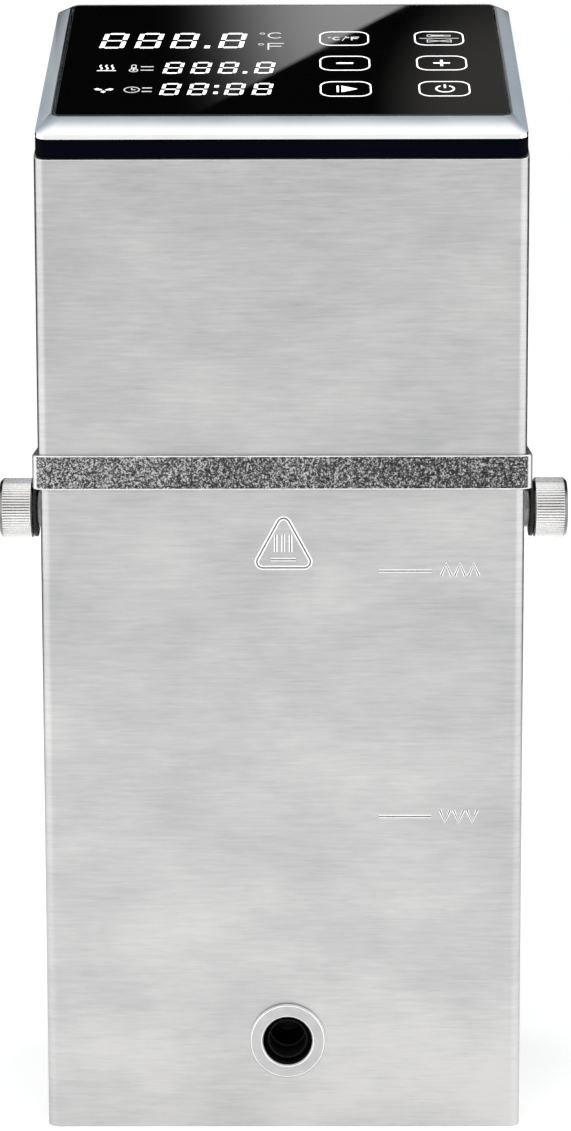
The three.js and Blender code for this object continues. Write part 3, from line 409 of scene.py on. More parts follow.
SLOTS = {
    "brushed_steel": brushed_steel,
    "bright_metal": polished(grey(0.5, -0.004), grey(0.62)),
    "machined_steel": machined_steel,
    "collar_metal": collar_metal,
    "brass": brass,
    "aluminium": aluminium,
    "black_glass": black_glass,
    "band_plastic": band_plastic,
    "black_plastic": moulded((0.004, 0.004, 0.0045), (0.009, 0.009, 0.0095), 0.45),
    "rubber": moulded(grey(0.003), grey(0.007), 0.6, cells=1200, gloss=0.12),
    "white_plastic": moulded((0.74, 0.74, 0.70), (0.84, 0.84, 0.81), 0.4),
    "circuit_board": circuit_board,
    "ceramic": ceramic,
}
LOOKS = {name: material("look_" + name, paint) for name, paint in SLOTS.items()}
BEZEL = material("look_bezel", polished(grey(0.82, -0.004), grey(0.9)))
KNURLED = material("look_knurled_steel", knurled_steel)
# painted highlight for the bevels of the collar strap and the upper housing
PAINTED_EDGE_HIGHLIGHT = material("look_painted_edge_highlight", painted_edge_highlight)
# painted shade for the grooves of the engraved marks
PAINTED_GROOVE_SHADE = material("look_painted_groove_shade", mottled_metal(1400, (0.12, 0.26), (0.5, 0.7), detail=2))
# painted highlight, for the outlet ring's chamfers and the raised lips of the engraved marks
PAINTED_LIP_HIGHLIGHT = material("look_painted_lip_highlight", mottled_metal(900, (0.86, 0.97), (0.3, 0.45)))
OUTLET_FACE = material(
    "look_outlet_face", mottled_metal(240, (0.41, 0.5), (0.28, 0.4), detail=4, bump=(0.06, 0.04 * MM))
)
# painted shade for the knurl's valleys
PAINTED_KNURL_SHADE = material("look_painted_knurl_shade", painted_knurl_shade)
TURNED_END = material(
    "look_turned_end", mottled_metal((2600, 300, 300), (0.12, 0.26), (0.16, 0.3), bump=(0.1, 0.03 * MM))
)
LIT = material("look_lit_print", backlit((0.82, 0.95), (0.25, 0.4), (0.86, 1.0), 0.75))
DIM = material("look_dim_print", backlit((0.55, 0.7), (0.3, 0.45), (0.55, 0.75), 0.3))


# ---------------------------------------- mesh helpers

SMOOTH_ANGLE = math.radians(32)
BEVEL_ANGLE = math.radians(30)  # edges that turn further than this get a soft edge
ON_AXIS = 1e-5  # metres from an axis that count as on it
SAME_MERIDIAN = 1e-3  # radians between two points that count as on one meridian


def piece(name, mesh_parts, looks, body, place=None):
    """A new piece from (vertices, faces) or (vertices, faces, look numbers), riding on a body."""
    vertices, faces, *numbers = mesh_parts
    mesh = bpy.data.meshes.new(name)
    mesh.from_pydata(vertices, [], faces)
    if place is not None:
        mesh.transform(place)
    for look in looks:
        mesh.materials.append(look)
    if numbers:
        mesh.polygons.foreach_set("material_index", numbers[0])
    mesh.shade_smooth()
    mesh.set_sharp_from_angle(angle=SMOOTH_ANGLE)
    made = bpy.data.objects.new(name, mesh)
    bpy.context.scene.collection.objects.link(made)
    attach(made, body)
    return made


def joined(parts):
    """Several (vertices, faces) as one."""
    vertices, faces = [], []
    for more_vertices, more_faces in parts:
        base = len(vertices)
        vertices += more_vertices
        faces += [tuple(base + i for i in face) for face in more_faces]
    return vertices, faces


def round_edges(made, width, look=0):
    """A bevel on the sharp edges, with the flat faces kept flat; look is the bevel's own look."""
    bevel = made.modifiers.new("round_edges", "BEVEL")
    bevel.width = width
    bevel.segments = 2
    bevel.limit_method = "ANGLE"
    bevel.angle_limit = BEVEL_ANGLE
    bevel.harden_normals = True
    bevel.material = look if look else -1
    return made


def revolved(profile, segments, shape=None):
    """A body turned about Z from (radius, height) points. shape(r, h, angle) may change a radius."""
    is_ring = profile[0] == profile[-1]
    points = profile[:-1] if is_ring else profile
    vertices, columns = [], []
    for r, h in points:
        if r < ON_AXIS:
            columns.append([len(vertices)] * segments)
            vertices.append((0, 0, h))
            continue
        columns.append(list(range(len(vertices), len(vertices) + segments)))
        for i in range(segments):
            angle = TAU * i / segments
            radius = shape(r, h, angle) if shape else r
            vertices.append((radius * math.cos(angle), radius * math.sin(angle), h))
    faces = []
    pairs = list(zip(columns, columns[1:]))
    if is_ring:
        pairs.append((columns[-1], columns[0]))
    for low, high in pairs:
        for i in range(segments):
            j = (i + 1) % segments
            corners = dict.fromkeys((low[i], low[j], high[j], high[i]))
            if len(corners) > 2:
                faces.append(tuple(corners))
    return vertices, faces


def along(point, direction):
    """The placing that puts Z along a direction, from a point."""
    turn = Vector((0, 0, 1)).rotation_difference(Vector(direction))
    return Matrix.Translation(point) @ turn.to_matrix().to_4x4()


def outline_of(node, place):
    """The (radius, height) outline of a turned CAD node, read along its meridians."""
    flat = place.inverted()
    points = [flat @ v.co for v in NODES[node].data.vertices]
    links = {}
    for edge in NODES[node].data.edges:
        a, b = (points[i] for i in edge.vertices)
        radii = [p.xy.length for p in (a, b)]
        if min(radii) > ON_AXIS and a.xy.angle(b.xy) > SAME_MERIDIAN:
            continue
        ends = [(round(r, 6), round(p.z, 6)) for r, p in zip(radii, (a, b))]
        if ends[0] != ends[1]:
            links.setdefault(ends[0], set()).add(ends[1])
            links.setdefault(ends[1], set()).add(ends[0])
    start = min(links, key=lambda end: (len(links[end]), end))
    chain = [start]
    while True:
        onward = [end for end in sorted(links[chain[-1]]) if end not in chain]
        if not onward:
            break
        chain.append(onward[0])
    if len(links[start]) > 1:
        chain.append(start)
    twice_area = sum(a[0] * b[1] - b[0] * a[1] for a, b in zip(chain, chain[1:]))
    return chain if twice_area > 0 else chain[::-1]


def swept(points, section, closed=False):
    """A tube along points in space: section is a list of (across, up) offsets, up is -Y."""
    count, sides = len(points), len(section)
    vertices = []
    for i, point in enumerate(points):
        before = points[i - 1] if i or closed else point
        after = points[(i + 1) % count] if i + 1 < count or closed else point
        across = (Vector(after) - Vector(before)).normalized().cross(Vector((0, -1, 0)))
        for a, up in section:
            vertices.append(Vector(point) + a * across + Vector((0, -up, 0)))
    faces = []
    for i in range(count if closed else count - 1):
        j = (i + 1) % count
        for k in range(sides):
            n = (k + 1) % sides
            faces.append((i * sides + k, j * sides + k, j * sides + n, i * sides + n))
    if not closed:
        faces.append(tuple(range(sides)))
        faces.append(tuple(reversed(range((count - 1) * sides, count * sides))))
    return vertices, faces


# ---------------------------------------- CAD nodes

SHEET_EDGE = 0.25 * MM
WELD_REACH = 0.004 * MM
EDGE_WIDTHS = {
    "collar_strap": 0.35 * MM,
    "bezel_frame": 0.35 * MM,
    "head_band": 0.15 * MM,
    "control_glass": 0.12 * MM,
    "clamp_bracket": 0.35 * MM,
    "fan_frame": 0.4 * MM,
    "fan_rotor": 0.3 * MM,
    "mains_inlet": 0.5 * MM,
    "pump_volute": 0.6 * MM,
    "clamp_nut": 0.5 * MM,
}


def free_shading(node):
    """Clears the stored normals and sharp marks, which would stop the soft edges from shading."""
    mesh = NODES[node].data
    for name in ("custom_normal", "sharp_edge", "sharp_face"):
        if name in mesh.attributes:
            mesh.attributes.remove(mesh.attributes[name])
    mesh.polygons.foreach_set("use_smooth", [True] * len(mesh.polygons))


def dress_cad_nodes():
    """Gives every CAD node its slot's look and soft edges."""
    for row in frame["record"]["subparts"]:
        node = NODES[row["node"]]
        node.data.materials[0] = BEZEL if row["node"] == "bezel_frame" else LOOKS[row["material_slot"]]
        free_shading(row["node"])
        weld = node.modifiers.new("weld", "WELD")
        weld.merge_threshold = WELD_REACH
        width = EDGE_WIDTHS.get(row["node"], SHEET_EDGE)
        if row["node"] == "heater_coil":
            smooth = node.modifiers.new("round", "SUBSURF")
            smooth.levels = smooth.render_levels = 2
            continue
        # The collar strap's and the upper housing's bevels take the painted edge highlight.
        if row["node"] in ("collar_strap", "upper_housing"):
            node.data.materials.append(PAINTED_EDGE_HIGHLIGHT)
            round_edges(node, width, look=1)
            continue
        round_edges(node, width)


# ---------------------------------------- turned pieces

def middle(node):
    low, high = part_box(node)
    return (low + high) / 2


def turned_piece(node, place, segments=96, edge=0.25 * MM, look=None, edge_look=None):
    """A finely turned copy of a turned CAD node, standing for it."""
    row = next(r for r in frame["record"]["subparts"] if r["node"] == node)
    outline = outline_of(node, place)
    made = piece(
        node + "_turned",
        revolved(outline, segments),
        [look or LOOKS[row["material_slot"]]] + ([edge_look] if edge_look else []),
        NODES[node]["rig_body"],
        place,
    )
    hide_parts(node)
    return round_edges(made, edge, look=int(edge_look is not None))


def threaded(radius, low, high, pitch, depth, segments=40, steps=6):
    """A threaded rod along Z with chamfered ends, as a body of revolution with a helical crest."""
    count = int((high - low) / pitch * steps)

    def shape(r, h, angle):
        phase = (h / pitch - angle / TAU) % 1
        fade = min(1, (high - h) / pitch, (h - low) / pitch)
        return r - depth * abs(2 * phase - 1) - depth * (1 - max(fade, 0))

    levels = [low + (high - low) * i / count for i in range(count + 1)]
    profile = [(0, low), *((radius, h) for h in levels), (0, high)]
    return revolved(profile, segments, shape)


KNURL_RIBS = 66
KNURL_STEPS = 6  # points round each rib: four on its crown and two in its valley
KNURL_DEPTH = 0.32 * MM
KNURL_FADE = 0.3 * MM
KNOB_DISH = 5.6 * MM  # radius of the shallow dish in a knob's end
KNOB_SINK = 0.3 * MM
HEIGHT_SLACK = 1e-6  # metres by which a face may stand out of the knurled band
CROWN_FACE, VALLEY_FACE, CHAMFER_FACE, END_FACE = range(4)
M6_PITCH = 1.0 * MM
M6_THREAD_DEPTH = 0.45 * MM
M8_PITCH = 1.25 * MM
M8_THREAD_DEPTH = 0.6 * MM


def knob_look(corners, widest, knurl, shoulder, end):
    """Which of a knob's four looks a face takes, from its corners in the knob's own frame."""
    low = min(corner.z for corner in corners)
    high = max(corner.z for corner in corners)
    if low >= knurl[0] - HEIGHT_SLACK and high <= knurl[-1] + HEIGHT_SLACK:
        radius = sum(corner.xy.length for corner in corners) / len(corners)
        return VALLEY_FACE if radius < widest - 0.6 * KNURL_DEPTH else CROWN_FACE
    if low > end - 2 * KNOB_SINK:
        return END_FACE
    if high - low > KNOB_SINK and low > shoulder:
        return CHAMFER_FACE
    return CROWN_FACE


def thumb_screw(side):
    """A knurled screw: its CAD outline with ribs on the widest band, and a threaded stud."""
    name = side + "_thumb_screw"
    body = side + "_screw"
    centre = middle(name)
    place = along((0, centre.y, centre.z), (math.copysign(1, centre.x), 0, 0))
    outline = outline_of(name, place)
    widest = max(r for r, _ in outline)
    knurl = sorted(h for r, h in outline if r == widest)
    stud = outline[2][0]
    shoulder = max(h for r, h in outline if r == stud)

    def ribbed(r, h, angle):
        fade = min(1, (h - knurl[0]) / KNURL_FADE, (knurl[-1] - h) / KNURL_FADE)
        step = round(angle / TAU * KNURL_RIBS * KNURL_STEPS) % KNURL_STEPS
        if r < widest or fade <= 0 or 0 < step < KNURL_STEPS - 1:
            return r
        return r - KNURL_DEPTH * fade

    profile = [(0, shoulder)]
    for r, h in outline:
        if r == widest and h == knurl[-1]:
            steps = [knurl[0] + KNURL_FADE, knurl[-1] - KNURL_FADE]
            profile += [(widest, step) for step in steps]
        if r > 0 and (h > shoulder or r > stud):
            profile.append((r, h))
    end = outline[-1][1]
    profile += [(KNOB_DISH, end), (KNOB_DISH - KNOB_SINK, end - KNOB_SINK), (0, end - KNOB_SINK)]
    vertices, faces = revolved(profile, KNURL_RIBS * KNURL_STEPS, ribbed)
    looks = []
    for face in faces:
        corners = [Vector(vertices[i]) for i in face]
        looks.append(knob_look(corners, widest, knurl, shoulder, end))
    parts = (vertices, faces, looks)
    # the knurl's valleys take the painted shade
    made_of = [KNURLED, PAINTED_KNURL_SHADE, TURNED_END, LOOKS["machined_steel"]]
    screw = piece(name + "_knurled", parts, made_of, body, place)
    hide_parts(name)
    thread = threaded(stud, outline[0][1], shoulder, M6_PITCH, M6_THREAD_DEPTH)
    piece(side + "_thumb_thread", thread, [LOOKS["machined_steel"]], body, place)
    turned_piece(side + "_thumb_washer", place)


UPRIGHT_NODES = (
    "motor_housing", "motor_rotor", "pump_shaft", "pump_column", "pump_cover", "shaft_seal",
    "level_float", "float_stem", "float_stop_clip", "temperature_probe",
    "motor_standoff_1", "motor_standoff_2", "motor_standoff_3", "motor_standoff_4",
    "heater_terminal_1", "heater_terminal_2",
)


def turn_round_nodes():
    """Replaces the faceted round nodes, each about its own axis."""
    outlet = along((middle("outlet_ring").x, 0, middle("outlet_ring").z), (0, -1, 0))
    # the outlet ring's chamfers take the painted lip highlight
    turned_piece("outlet_ring", outlet, 160, 0.12 * MM, OUTLET_FACE, PAINTED_LIP_HIGHLIGHT)
    turned_piece("outlet_grommet", outlet, 128, 0.3 * MM)
    for node in UPRIGHT_NODES:
        centre = middle(node)
        turned_piece(node, along((centre.x, centre.y, 0), (0, 0, 1)), 72)
    for node in ("clamp_pad", "wall_bumper_left", "wall_bumper_right"):
        centre = middle(node)
        turned_piece(node, along((centre.x, 0, centre.z), (0, 1, 0)), 96, 0.4 * MM)


def clamp_rod():
    """The clamp's M8 screw: a plain neck in the pad's socket, then thread up to the knob."""
    centre = middle("clamp_screw")
    place = along((centre.x, 0, centre.z), (0, 1, 0))
    outline = outline_of("clamp_screw", place)
    neck = outline[1][0]
    step = max(h for r, h in outline if r == neck)
    low, high = outline[0][1], outline[-1][1]
    radius = max(r for r, _ in outline)
    plain = revolved([(0, low), (neck, low), (neck, step + MM), (0, step + MM)], 48)
    parts = joined([plain, threaded(radius, step, high, M8_PITCH, M8_THREAD_DEPTH, 56)])
    rod = piece("clamp_screw_threaded", parts, [LOOKS["machined_steel"]], "clamp_screw",
                place)
    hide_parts("clamp_screw")


KNOB_LOBES = 5
KNOB_SCALLOP = 3.3 * MM
KNOB_ROOT = (4 * MM, 3 * MM)  # how far the rounding under the knob reaches in and up
KNOB_SOFT = 2.6 * MM
KNOB_CAP = 5.5 * MM  # radius of the metal cap


def clamp_knob():
    """A lobed star knob with a soft rim and a dished metal cap."""
    low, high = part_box("clamp_knob")
    centre = middle("clamp_screw")
    place = along((centre.x, low.y, centre.z), (0, 1, 0))
    radius, length = high.x, high.y - low.y
    root_in, root_up = KNOB_ROOT
    rim, rim_top = radius - KNOB_SOFT, length - KNOB_SOFT
    cap = KNOB_CAP

    def lobed(r, h, angle):
        dent = (0.5 - 0.5 * math.cos(KNOB_LOBES * angle)) ** 1.6
        return r - KNOB_SCALLOP * dent * (r / radius) ** 2

    quarter = [math.pi / 2 * i / 5 for i in range(6)]
    profile = [(0, 0), (radius - root_in, 0)]
    profile += [(radius - root_in * math.cos(t), root_up * math.sin(t)) for t in quarter[1:]]
    profile += [(rim + KNOB_SOFT * math.cos(t), rim_top + KNOB_SOFT * math.sin(t)) for t in quarter]
    profile += [(cap + MM, length), (cap, length - 0.6 * MM), (0, length - 0.6 * MM)]
    knob = piece("clamp_knob_star", revolved(profile, 180, lobed), [LOOKS["black_plastic"]],
                 "clamp_screw", place)
    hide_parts("clamp_knob")
    disc = [(0, length - 0.5 * MM), (cap - 0.4 * MM, length - 0.5 * MM)]
    disc += [(cap - 0.7 * MM, length - 0.15 * MM), (0, length - 0.05 * MM)]
    piece("clamp_knob_cap", revolved(disc, 64), [LOOKS["bright_metal"]], "clamp_screw",
          place)


HEX_SOCKET = {"radius": 1.45 * MM, "depth": 1.3 * MM, "chamfer": 0.2 * MM}
HEAD_RIM = 0.5 * MM  # height of a button head's upright rim


def hex_socket_screw(node):
    """A button head with a hexagon socket, standing for one bracket screw."""
    centre = middle(node)
    place = along((centre.x, 0, centre.z), (0, 1, 0))
    outline = outline_of(node, place)
    top = max(h for _, h in outline)
    radius = max(r for r, _ in outline)
    seat = min(h for r, h in outline if r == radius)
    shank = outline[1][0]
    socket, deep, chamfer = HEX_SOCKET["radius"], HEX_SOCKET["depth"], HEX_SOCKET["chamfer"]
    reach = socket + 2 * chamfer

    def shape(r, h, angle):
        if r > socket + chamfer or h < seat:
            return r
        sixth = (angle % (TAU / 6)) - TAU / 12
        return r * math.cos(TAU / 12) / math.cos(sixth)

    profile = [(0, outline[0][1]), (shank, outline[0][1]), (shank, seat), (radius, seat)]
    rise = top - seat - HEAD_RIM
    for i in range(7):
        turn = math.pi / 2 * i / 6
        profile.append((reach + (radius - reach) * math.cos(turn), top - rise + rise * math.sin(turn)))
    profile += [(socket + chamfer, top), (socket, top - chamfer), (socket, top - deep), (0, top - deep)]
    screw = piece(node + "_button_head", revolved(profile, 72, shape), [LOOKS["machined_steel"]],
                  "root", place)
    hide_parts(node)


# ---------------------------------------- panel print

GLASS = NODES["control_glass"].data
PRINT_LEVELS = (0.02, 0.07)  # millimetres above the glass of the print's two faces
SLANT = 0.105


def panel_place():
    """Puts millimetres (x, s up the slope, height) of the glass's top face into the frame."""
    top = max(GLASS.polygons, key=lambda face: face.area * (face.normal.z > 0.5))
    normal = top.normal.normalized()
    slope = Vector((0, normal.z, -normal.y))
    low = min(v.co.dot(slope) for v in GLASS.vertices)
    height = max(v.co.dot(normal) for v in GLASS.vertices)
    origin = slope * low + normal * height
    axes = Matrix((Vector((1, 0, 0)), slope, normal)).transposed().to_4x4()
    return Matrix.Translation(origin) @ axes @ Matrix.Scale(MM, 4)


PANEL = panel_place()


def slab(outline):
    """A thin plate with a convex outline of (x, s) points, in millimetres."""
    count = len(outline)
    vertices = [(x, s, z) for z in PRINT_LEVELS for x, s in outline]
    sides = [(i, (i + 1) % count, count + (i + 1) % count, count + i) for i in range(count)]
    return vertices, [tuple(reversed(range(count))), tuple(range(count, 2 * count)), *sides]


def stroke(points, width, closed=False):
    """A line of even width through (x, s) points, as quads side by side with mitred joints."""
    count = len(points)
    edges = []
    for i, (x, s) in enumerate(points):
        here = Vector((x, s))
        before = here - Vector(points[i - 1]) if i or closed else None
        after = Vector(points[(i + 1) % count]) - here if i + 1 < count or closed else None
        before, after = before or after, after or before
        bend = (before.normalized() + after.normalized()).normalized()
        normal = Vector((-bend.y, bend.x))
        reach = width / 2 / max(0.35, abs(bend.dot(after.normalized())))
        edges.append((here - reach * normal, here + reach * normal))
    vertices = [(p.x, p.y, z) for sides in edges for z in PRINT_LEVELS for p in sides]
    faces = []
    for i in range(count if closed else count - 1):
        a, b = 4 * i, 4 * ((i + 1) % count)
        faces += [(a + 2, b + 2, b + 3, a + 3), (a, a + 1, b + 1, b)]
        faces += [(a, b, b + 2, a + 2), (a + 1, a + 3, b + 3, b + 1)]
    if not closed:
        end = 4 * (count - 1)
        faces += [(0, 2, 3, 1), (end, end + 1, end + 3, end + 2)]
    return vertices, faces


def arc(x, s, radius, start, end, steps=12, squeeze=1.0):
    """Points on an arc between two angles in degrees."""
    turns = [math.radians(start + (end - start) * i / steps) for i in range(steps + 1)]
    return [(x + radius * squeeze * math.cos(t), s + radius * math.sin(t)) for t in turns]


def rounded_box(x, s, width, height, radius, steps=6):
    """Points round a rectangle with round corners."""
    points = []
    for start, i, k in ((-90, 1, -1), (0, 1, 1), (90, -1, 1), (180, -1, -1)):
        centre = (x + i * (width / 2 - radius), s + k * (height / 2 - radius))
        points += arc(*centre, radius, start, start + 90, steps)
    return points


def leaned(points, s):
    """Points slanted to the right above the line s."""
    return [(x + SLANT * (y - s), y) for x, y in points]


def printed(name, parts, look):
    """Print on the glass, from parts in the panel's millimetres."""
    piece(name, joined(parts), [look], "root", PANEL)


SEGMENT_GAP = 0.5


def upright_segment(left, low, high, across, drop, is_left):
    """The outline of an upright bar; its lower end drops towards the digit's outer corner."""
    right = left + across
    if is_left:
        foot = [(left, low - drop), (right, low)]
    else:
        foot = [(left, low), (right - 0.45 * across, low - drop), (right, low + 0.2)]
    return [*foot, (right, high), (left, high)]


def level_segment(left, right, low, high):
    """The outline of a level bar with pointed ends."""
    middle_s = (low + high) / 2
    tip = 0.45 * (high - low)
    return [
        (left, middle_s), (left + tip, low), (right - tip, low),
        (right, middle_s), (right - tip, high), (left + tip, high),
    ]


def digit(x, s, width, height, across, up):
    """Seven segments: across is the width of the upright bars, up the height of the level ones."""
    half = height / 2
    end = (up + SEGMENT_GAP) / 2
    outlines = []
    for base, drop in ((s, up / 2), (s + half, 0)):
        for left, is_left in ((x, True), (x + width - across, False)):
            low, high = base + end, base + half - end
            outlines.append(upright_segment(left, low, high, across, drop, is_left))
    inset = 0.95 * across
    thin = 0.62 * up
    for low, tall in ((s, up), (s + half - thin / 2, thin), (s + height - up, up)):
        outlines.append(level_segment(x + inset, x + width - inset, low, low + tall))
    return [slab(leaned(outline, s)) for outline in outlines]


def dot(x, s, size, rise):
    """A decimal point or one dot of a colon."""
    return slab(leaned([(x, s), (x + size, s), (x + size, s + rise), (x, s + rise)], s))


# digits and dots of the display, large in its first row and small in the other two
BIG = {"width": 6.7, "height": 11.9, "across": 1.3, "up": 1.0}
BIG_DOT = (1.5, 1.9)
SMALL = {"width": 4.95, "height": 8.6, "across": 0.95, "up": 0.78}
SMALL_DOT = (1.15, 1.5)
# a row: its s, its digits' form and their x, a dot's size, and each dot's (x, rise)
DISPLAY_ROWS = (
    (49.7, BIG, (-50.0, -40.4, -30.7, -17.6), BIG_DOT, ((-21.4, 0),)),
    (30.2, SMALL, (-32.0, -24.6, -17.3, -7.6), SMALL_DOT, ((-10.6, 0),)),
    (14.3, SMALL, (-32.3, -25.0, -15.3, -8.0), SMALL_DOT, ((-18.1, 0.8), (-17.9, 5.6))),
)


def print_digits():
    """The three rows of digits, with their points and colon."""
    parts = []
    for s, form, columns, dot_size, dots in DISPLAY_ROWS:
        for x in columns:
            parts += digit(x, s, **form)
        parts += [dot(x, s + rise, *dot_size) for x, rise in dots]
    printed("display_digits", parts, LIT)


def degree(x, s, letter, size):
    """A degree ring and a plain C or F of this height."""
    width = size * 0.85
    parts = [stroke(arc(x, s + size * 0.82, size * 0.13, 0, 330), 0.22, closed=True)]
    left = x + size * 0.35
    if letter == "C":
        bowl = arc(left + width / 2, s + size / 2, size / 2 - 0.25, 45, 315, 16, 0.95)
        parts.append(stroke(bowl, 0.45))
    else:
        parts.append(stroke([(left + 0.2, s), (left + 0.2, s + size)], 0.45))
        parts.append(stroke([(left + 0.45, s + size - 0.25), (left + width, s + size - 0.25)], 0.5))
        parts.append(stroke([(left + 0.45, s + size * 0.52), (left + width * 0.85, s + size * 0.52)], 0.5))
    return parts


def print_units():
    parts = degree(-5.6, 57.2, "C", 4.7) + degree(-5.9, 48.3, "F", 5.2)
    printed("display_units", parts, DIM)


def heat_icon(x, s):
    """Three rising waves over a plate."""
    parts = [stroke([(x, s), (x + 5.1, s)], 0.35)]
    for i in range(3):
        left = x + 1.0 + 1.55 * i
        wave = [(left + 0.3 * math.sin(t * TAU / 10), s + 0.9 + 3.4 * t / 10) for t in range(11)]
        parts.append(stroke(wave, 0.4))
    return parts


def fan_icon(x, s):
    """Two long blades and a short one round a hub."""
    parts = []
    centre = Vector((x, s))
    for turn, reach in ((162, 2.7), (18, 2.7), (270, 1.9)):
        t = math.radians(turn)
        tip = Vector((math.cos(t), math.sin(t)))
        side = Vector((-tip.y, tip.x)) * 0.75
        root, belly = centre + tip * 0.5, centre + tip * reach * 0.7
        petal = [root - side * 0.3, belly - side, centre + tip * reach]
        petal += [belly + side * 0.8, root + side * 0.3]
        parts.append(slab([tuple(p) for p in petal]))
    return parts


def thermometer_icon(x, s, height):
    """A thermometer standing for a set temperature."""
    bulb = arc(x, s + 1.1, 1.1, 120, 420, 14)
    stem = [(x + 0.55, s + height - 0.5), *arc(x, s + height - 0.5, 0.55, 30, 150, 5)]
    return [
        stroke([*bulb, *stem, (x - 0.55, s + height - 0.5)], 0.3, closed=True),
        stroke([(x, s + 0.7), (x, s + height * 0.62)], 0.5),
    ]


def clock_icon(x, s, radius):
    """A clock face standing for a set time."""
    return [
        stroke(arc(x, s, radius, 0, 345, 23), 0.3, closed=True),
        stroke([(x, s + radius * 0.62), (x, s), (x + radius * 0.5, s)], 0.3),
    ]


def two_bars(x, s, length, apart):
    """Two short level bars, standing for the words beside a setting."""
    return [stroke([(x, s + k * apart / 2), (x + length, s + k * apart / 2)], 0.5) for k in (-1, 1)]


def print_icons():
    parts = heat_icon(-49.6, 32.5) + fan_icon(-47.0, 18.0)
    printed("display_icons", parts, LIT)
    parts = thermometer_icon(-39.8, 31.6, 5.2) + two_bars(-37.9, 34.1, 3.4, 2.6)
    parts += clock_icon(-39.6, 18.2, 2.0) + two_bars(-36.9, 18.2, 2.6, 2.6)
    printed("setting_icons", parts, DIM)


KEY = {"width": 13.2, "height": 10.6, "radius": 3.1}
KEY_LINE = 0.42
KEY_COLUMNS = (16.8, 42.8)
KEY_ROWS = (57.0, 37.8, 18.5)
SIGN_ARM = 4.5
SIGN_REACH = 4.6
SIGN_THICKNESS = 0.72


def bar(x, s, width, height):
    """A plain bar about a point."""
    half_width, half_height = width / 2, height / 2
    return slab([
        (x - half_width, s - half_height), (x + half_width, s - half_height),
        (x + half_width, s + half_height), (x - half_width, s + half_height),
    ])


def lying_thermometer(x, s, length):
    """A thermometer on its side, its bulb to the left."""
    bulb = arc(x - length / 2 + 0.8, s, 0.8, 40, 320, 10)
    stem = arc(x + length / 2 - 0.35, s, 0.35, -80, 80, 4)
    return [stroke([*bulb, *stem], 0.24, closed=True), bar(x - 0.4, s, length * 0.55, 0.3)]


def lying_hourglass(x, s, length):
    """An hourglass on its side."""
    half, rise, waist = length / 2, 0.9, 0.01
    corners = [
        (x - half, s - rise), (x, s), (x + half, s - rise),
        (x + half, s + rise), (x, s + waist), (x - half, s + rise),
    ]
    return [stroke(corners, 0.26, closed=True)]


def print_keys():
    lines = [
        stroke(rounded_box(x, s, **KEY), KEY_LINE, closed=True) for x in KEY_COLUMNS for s in KEY_ROWS
    ]
    printed("key_outlines", lines, LIT)
    (left, right), (top, row, low) = KEY_COLUMNS, KEY_ROWS
    half, thick = SIGN_REACH / 2, SIGN_THICKNESS
    arm_high = half - thick / 2
    signs = [
        bar(left, row, SIGN_ARM, thick * 1.2),
        bar(right, row, SIGN_ARM, thick),
        bar(right, row + (thick + arm_high) / 2, thick, arm_high),
        bar(right, row - (thick + arm_high) / 2, thick, arm_high),
        bar(left - 2.1, low, 0.55, SIGN_REACH),
        slab([(left - 1.1, low - half), (left + 3.1, low), (left - 1.1, low + half)]),
        stroke(arc(right + 0.2, low, 2.35, 120, 420, 22), 0.5),
        bar(right + 0.2, low + 1.8, 0.6, 2.4),
    ]
    printed("key_signs", signs, LIT)
    small = degree(left - 4.0, top - 1.3, "C", 2.6) + degree(left + 1.0, top - 1.3, "F", 2.6)
    small.append(stroke([(left - 0.5, top - 1.7), (left + 0.6, top + 1.8)], 0.25))
    small.append(stroke([(right - 5.4, top), (right + 5.4, top)], 0.25))
    small += lying_thermometer(right, top + 2.1, 6.5) + lying_hourglass(right, top - 2.1, 6.5)
    printed("key_labels", small, DIM)


# ---------------------------------------- engraved marks

MARK_WIDTH = 1.15 * MM
FINE_MARK_WIDTH = 0.95 * MM
MARK_RISE = 0.16 * MM
MARK_SINK = 0.05 * MM
# The groove's sides take a painted shade.
GROOVE_SIDES = (3, 4)  # the sides of a mark's section that are its dark groove


def mark_section(width):
    """Two raised lips with a groove between them, which gets a painted shade."""
    half = width / 2
    lip = half * 0.72
    groove = half * 0.36
    return [
        (-half, -MARK_SINK), (-half, 0.2 * MARK_RISE), (-lip, MARK_RISE), (-groove, 0.4 * MARK_RISE),
        (0, 0.1 * MARK_RISE), (groove, 0.4 * MARK_RISE), (lip, MARK_RISE), (half, 0.2 * MARK_RISE),
        (half, -MARK_SINK),
    ]


def engraved(name, lines, width=MARK_WIDTH):
    """One mark on the sleeve's front from (points, closed) lines, in millimetres of x and z."""
    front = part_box("lower_sleeve")[0].y
    section = mark_section(width)
    tubes, looks = [], []
    for points, closed in lines:
        tubes.append(swept([(x * MM, front, z * MM) for x, z in points], section, closed))
        rings = len(points) if closed else len(points) - 1
        looks += [int(k in GROOVE_SIDES) for _ in range(rings) for k in range(len(section))]
        looks += [0] * (0 if closed else 2)
    # the lips take a painted highlight and the groove a painted shade
    piece(name, (*joined(tubes), looks), [PAINTED_LIP_HIGHLIGHT, PAINTED_GROOVE_SHADE], "sleeve")


def rounded_triangle(left, right, low, high, radius):
    """Points round a triangle with round corners, anticlockwise from its base."""
    slope = math.degrees(math.atan2(high - low, (right - left) / 2))
    inset = radius / math.tan(math.radians(slope / 2))
    drop = radius / math.sin(math.radians(slope))
    corners = (
        (right - inset, low + radius, -90, 90 - slope),
        ((left + right) / 2, high - drop, 90 - slope, 90 + slope),
        (left + inset, low + radius, 90 + slope, 270),
    )
    return [p for x, z, start, end in corners for p in arc(x, z, radius, start, end, 8)]


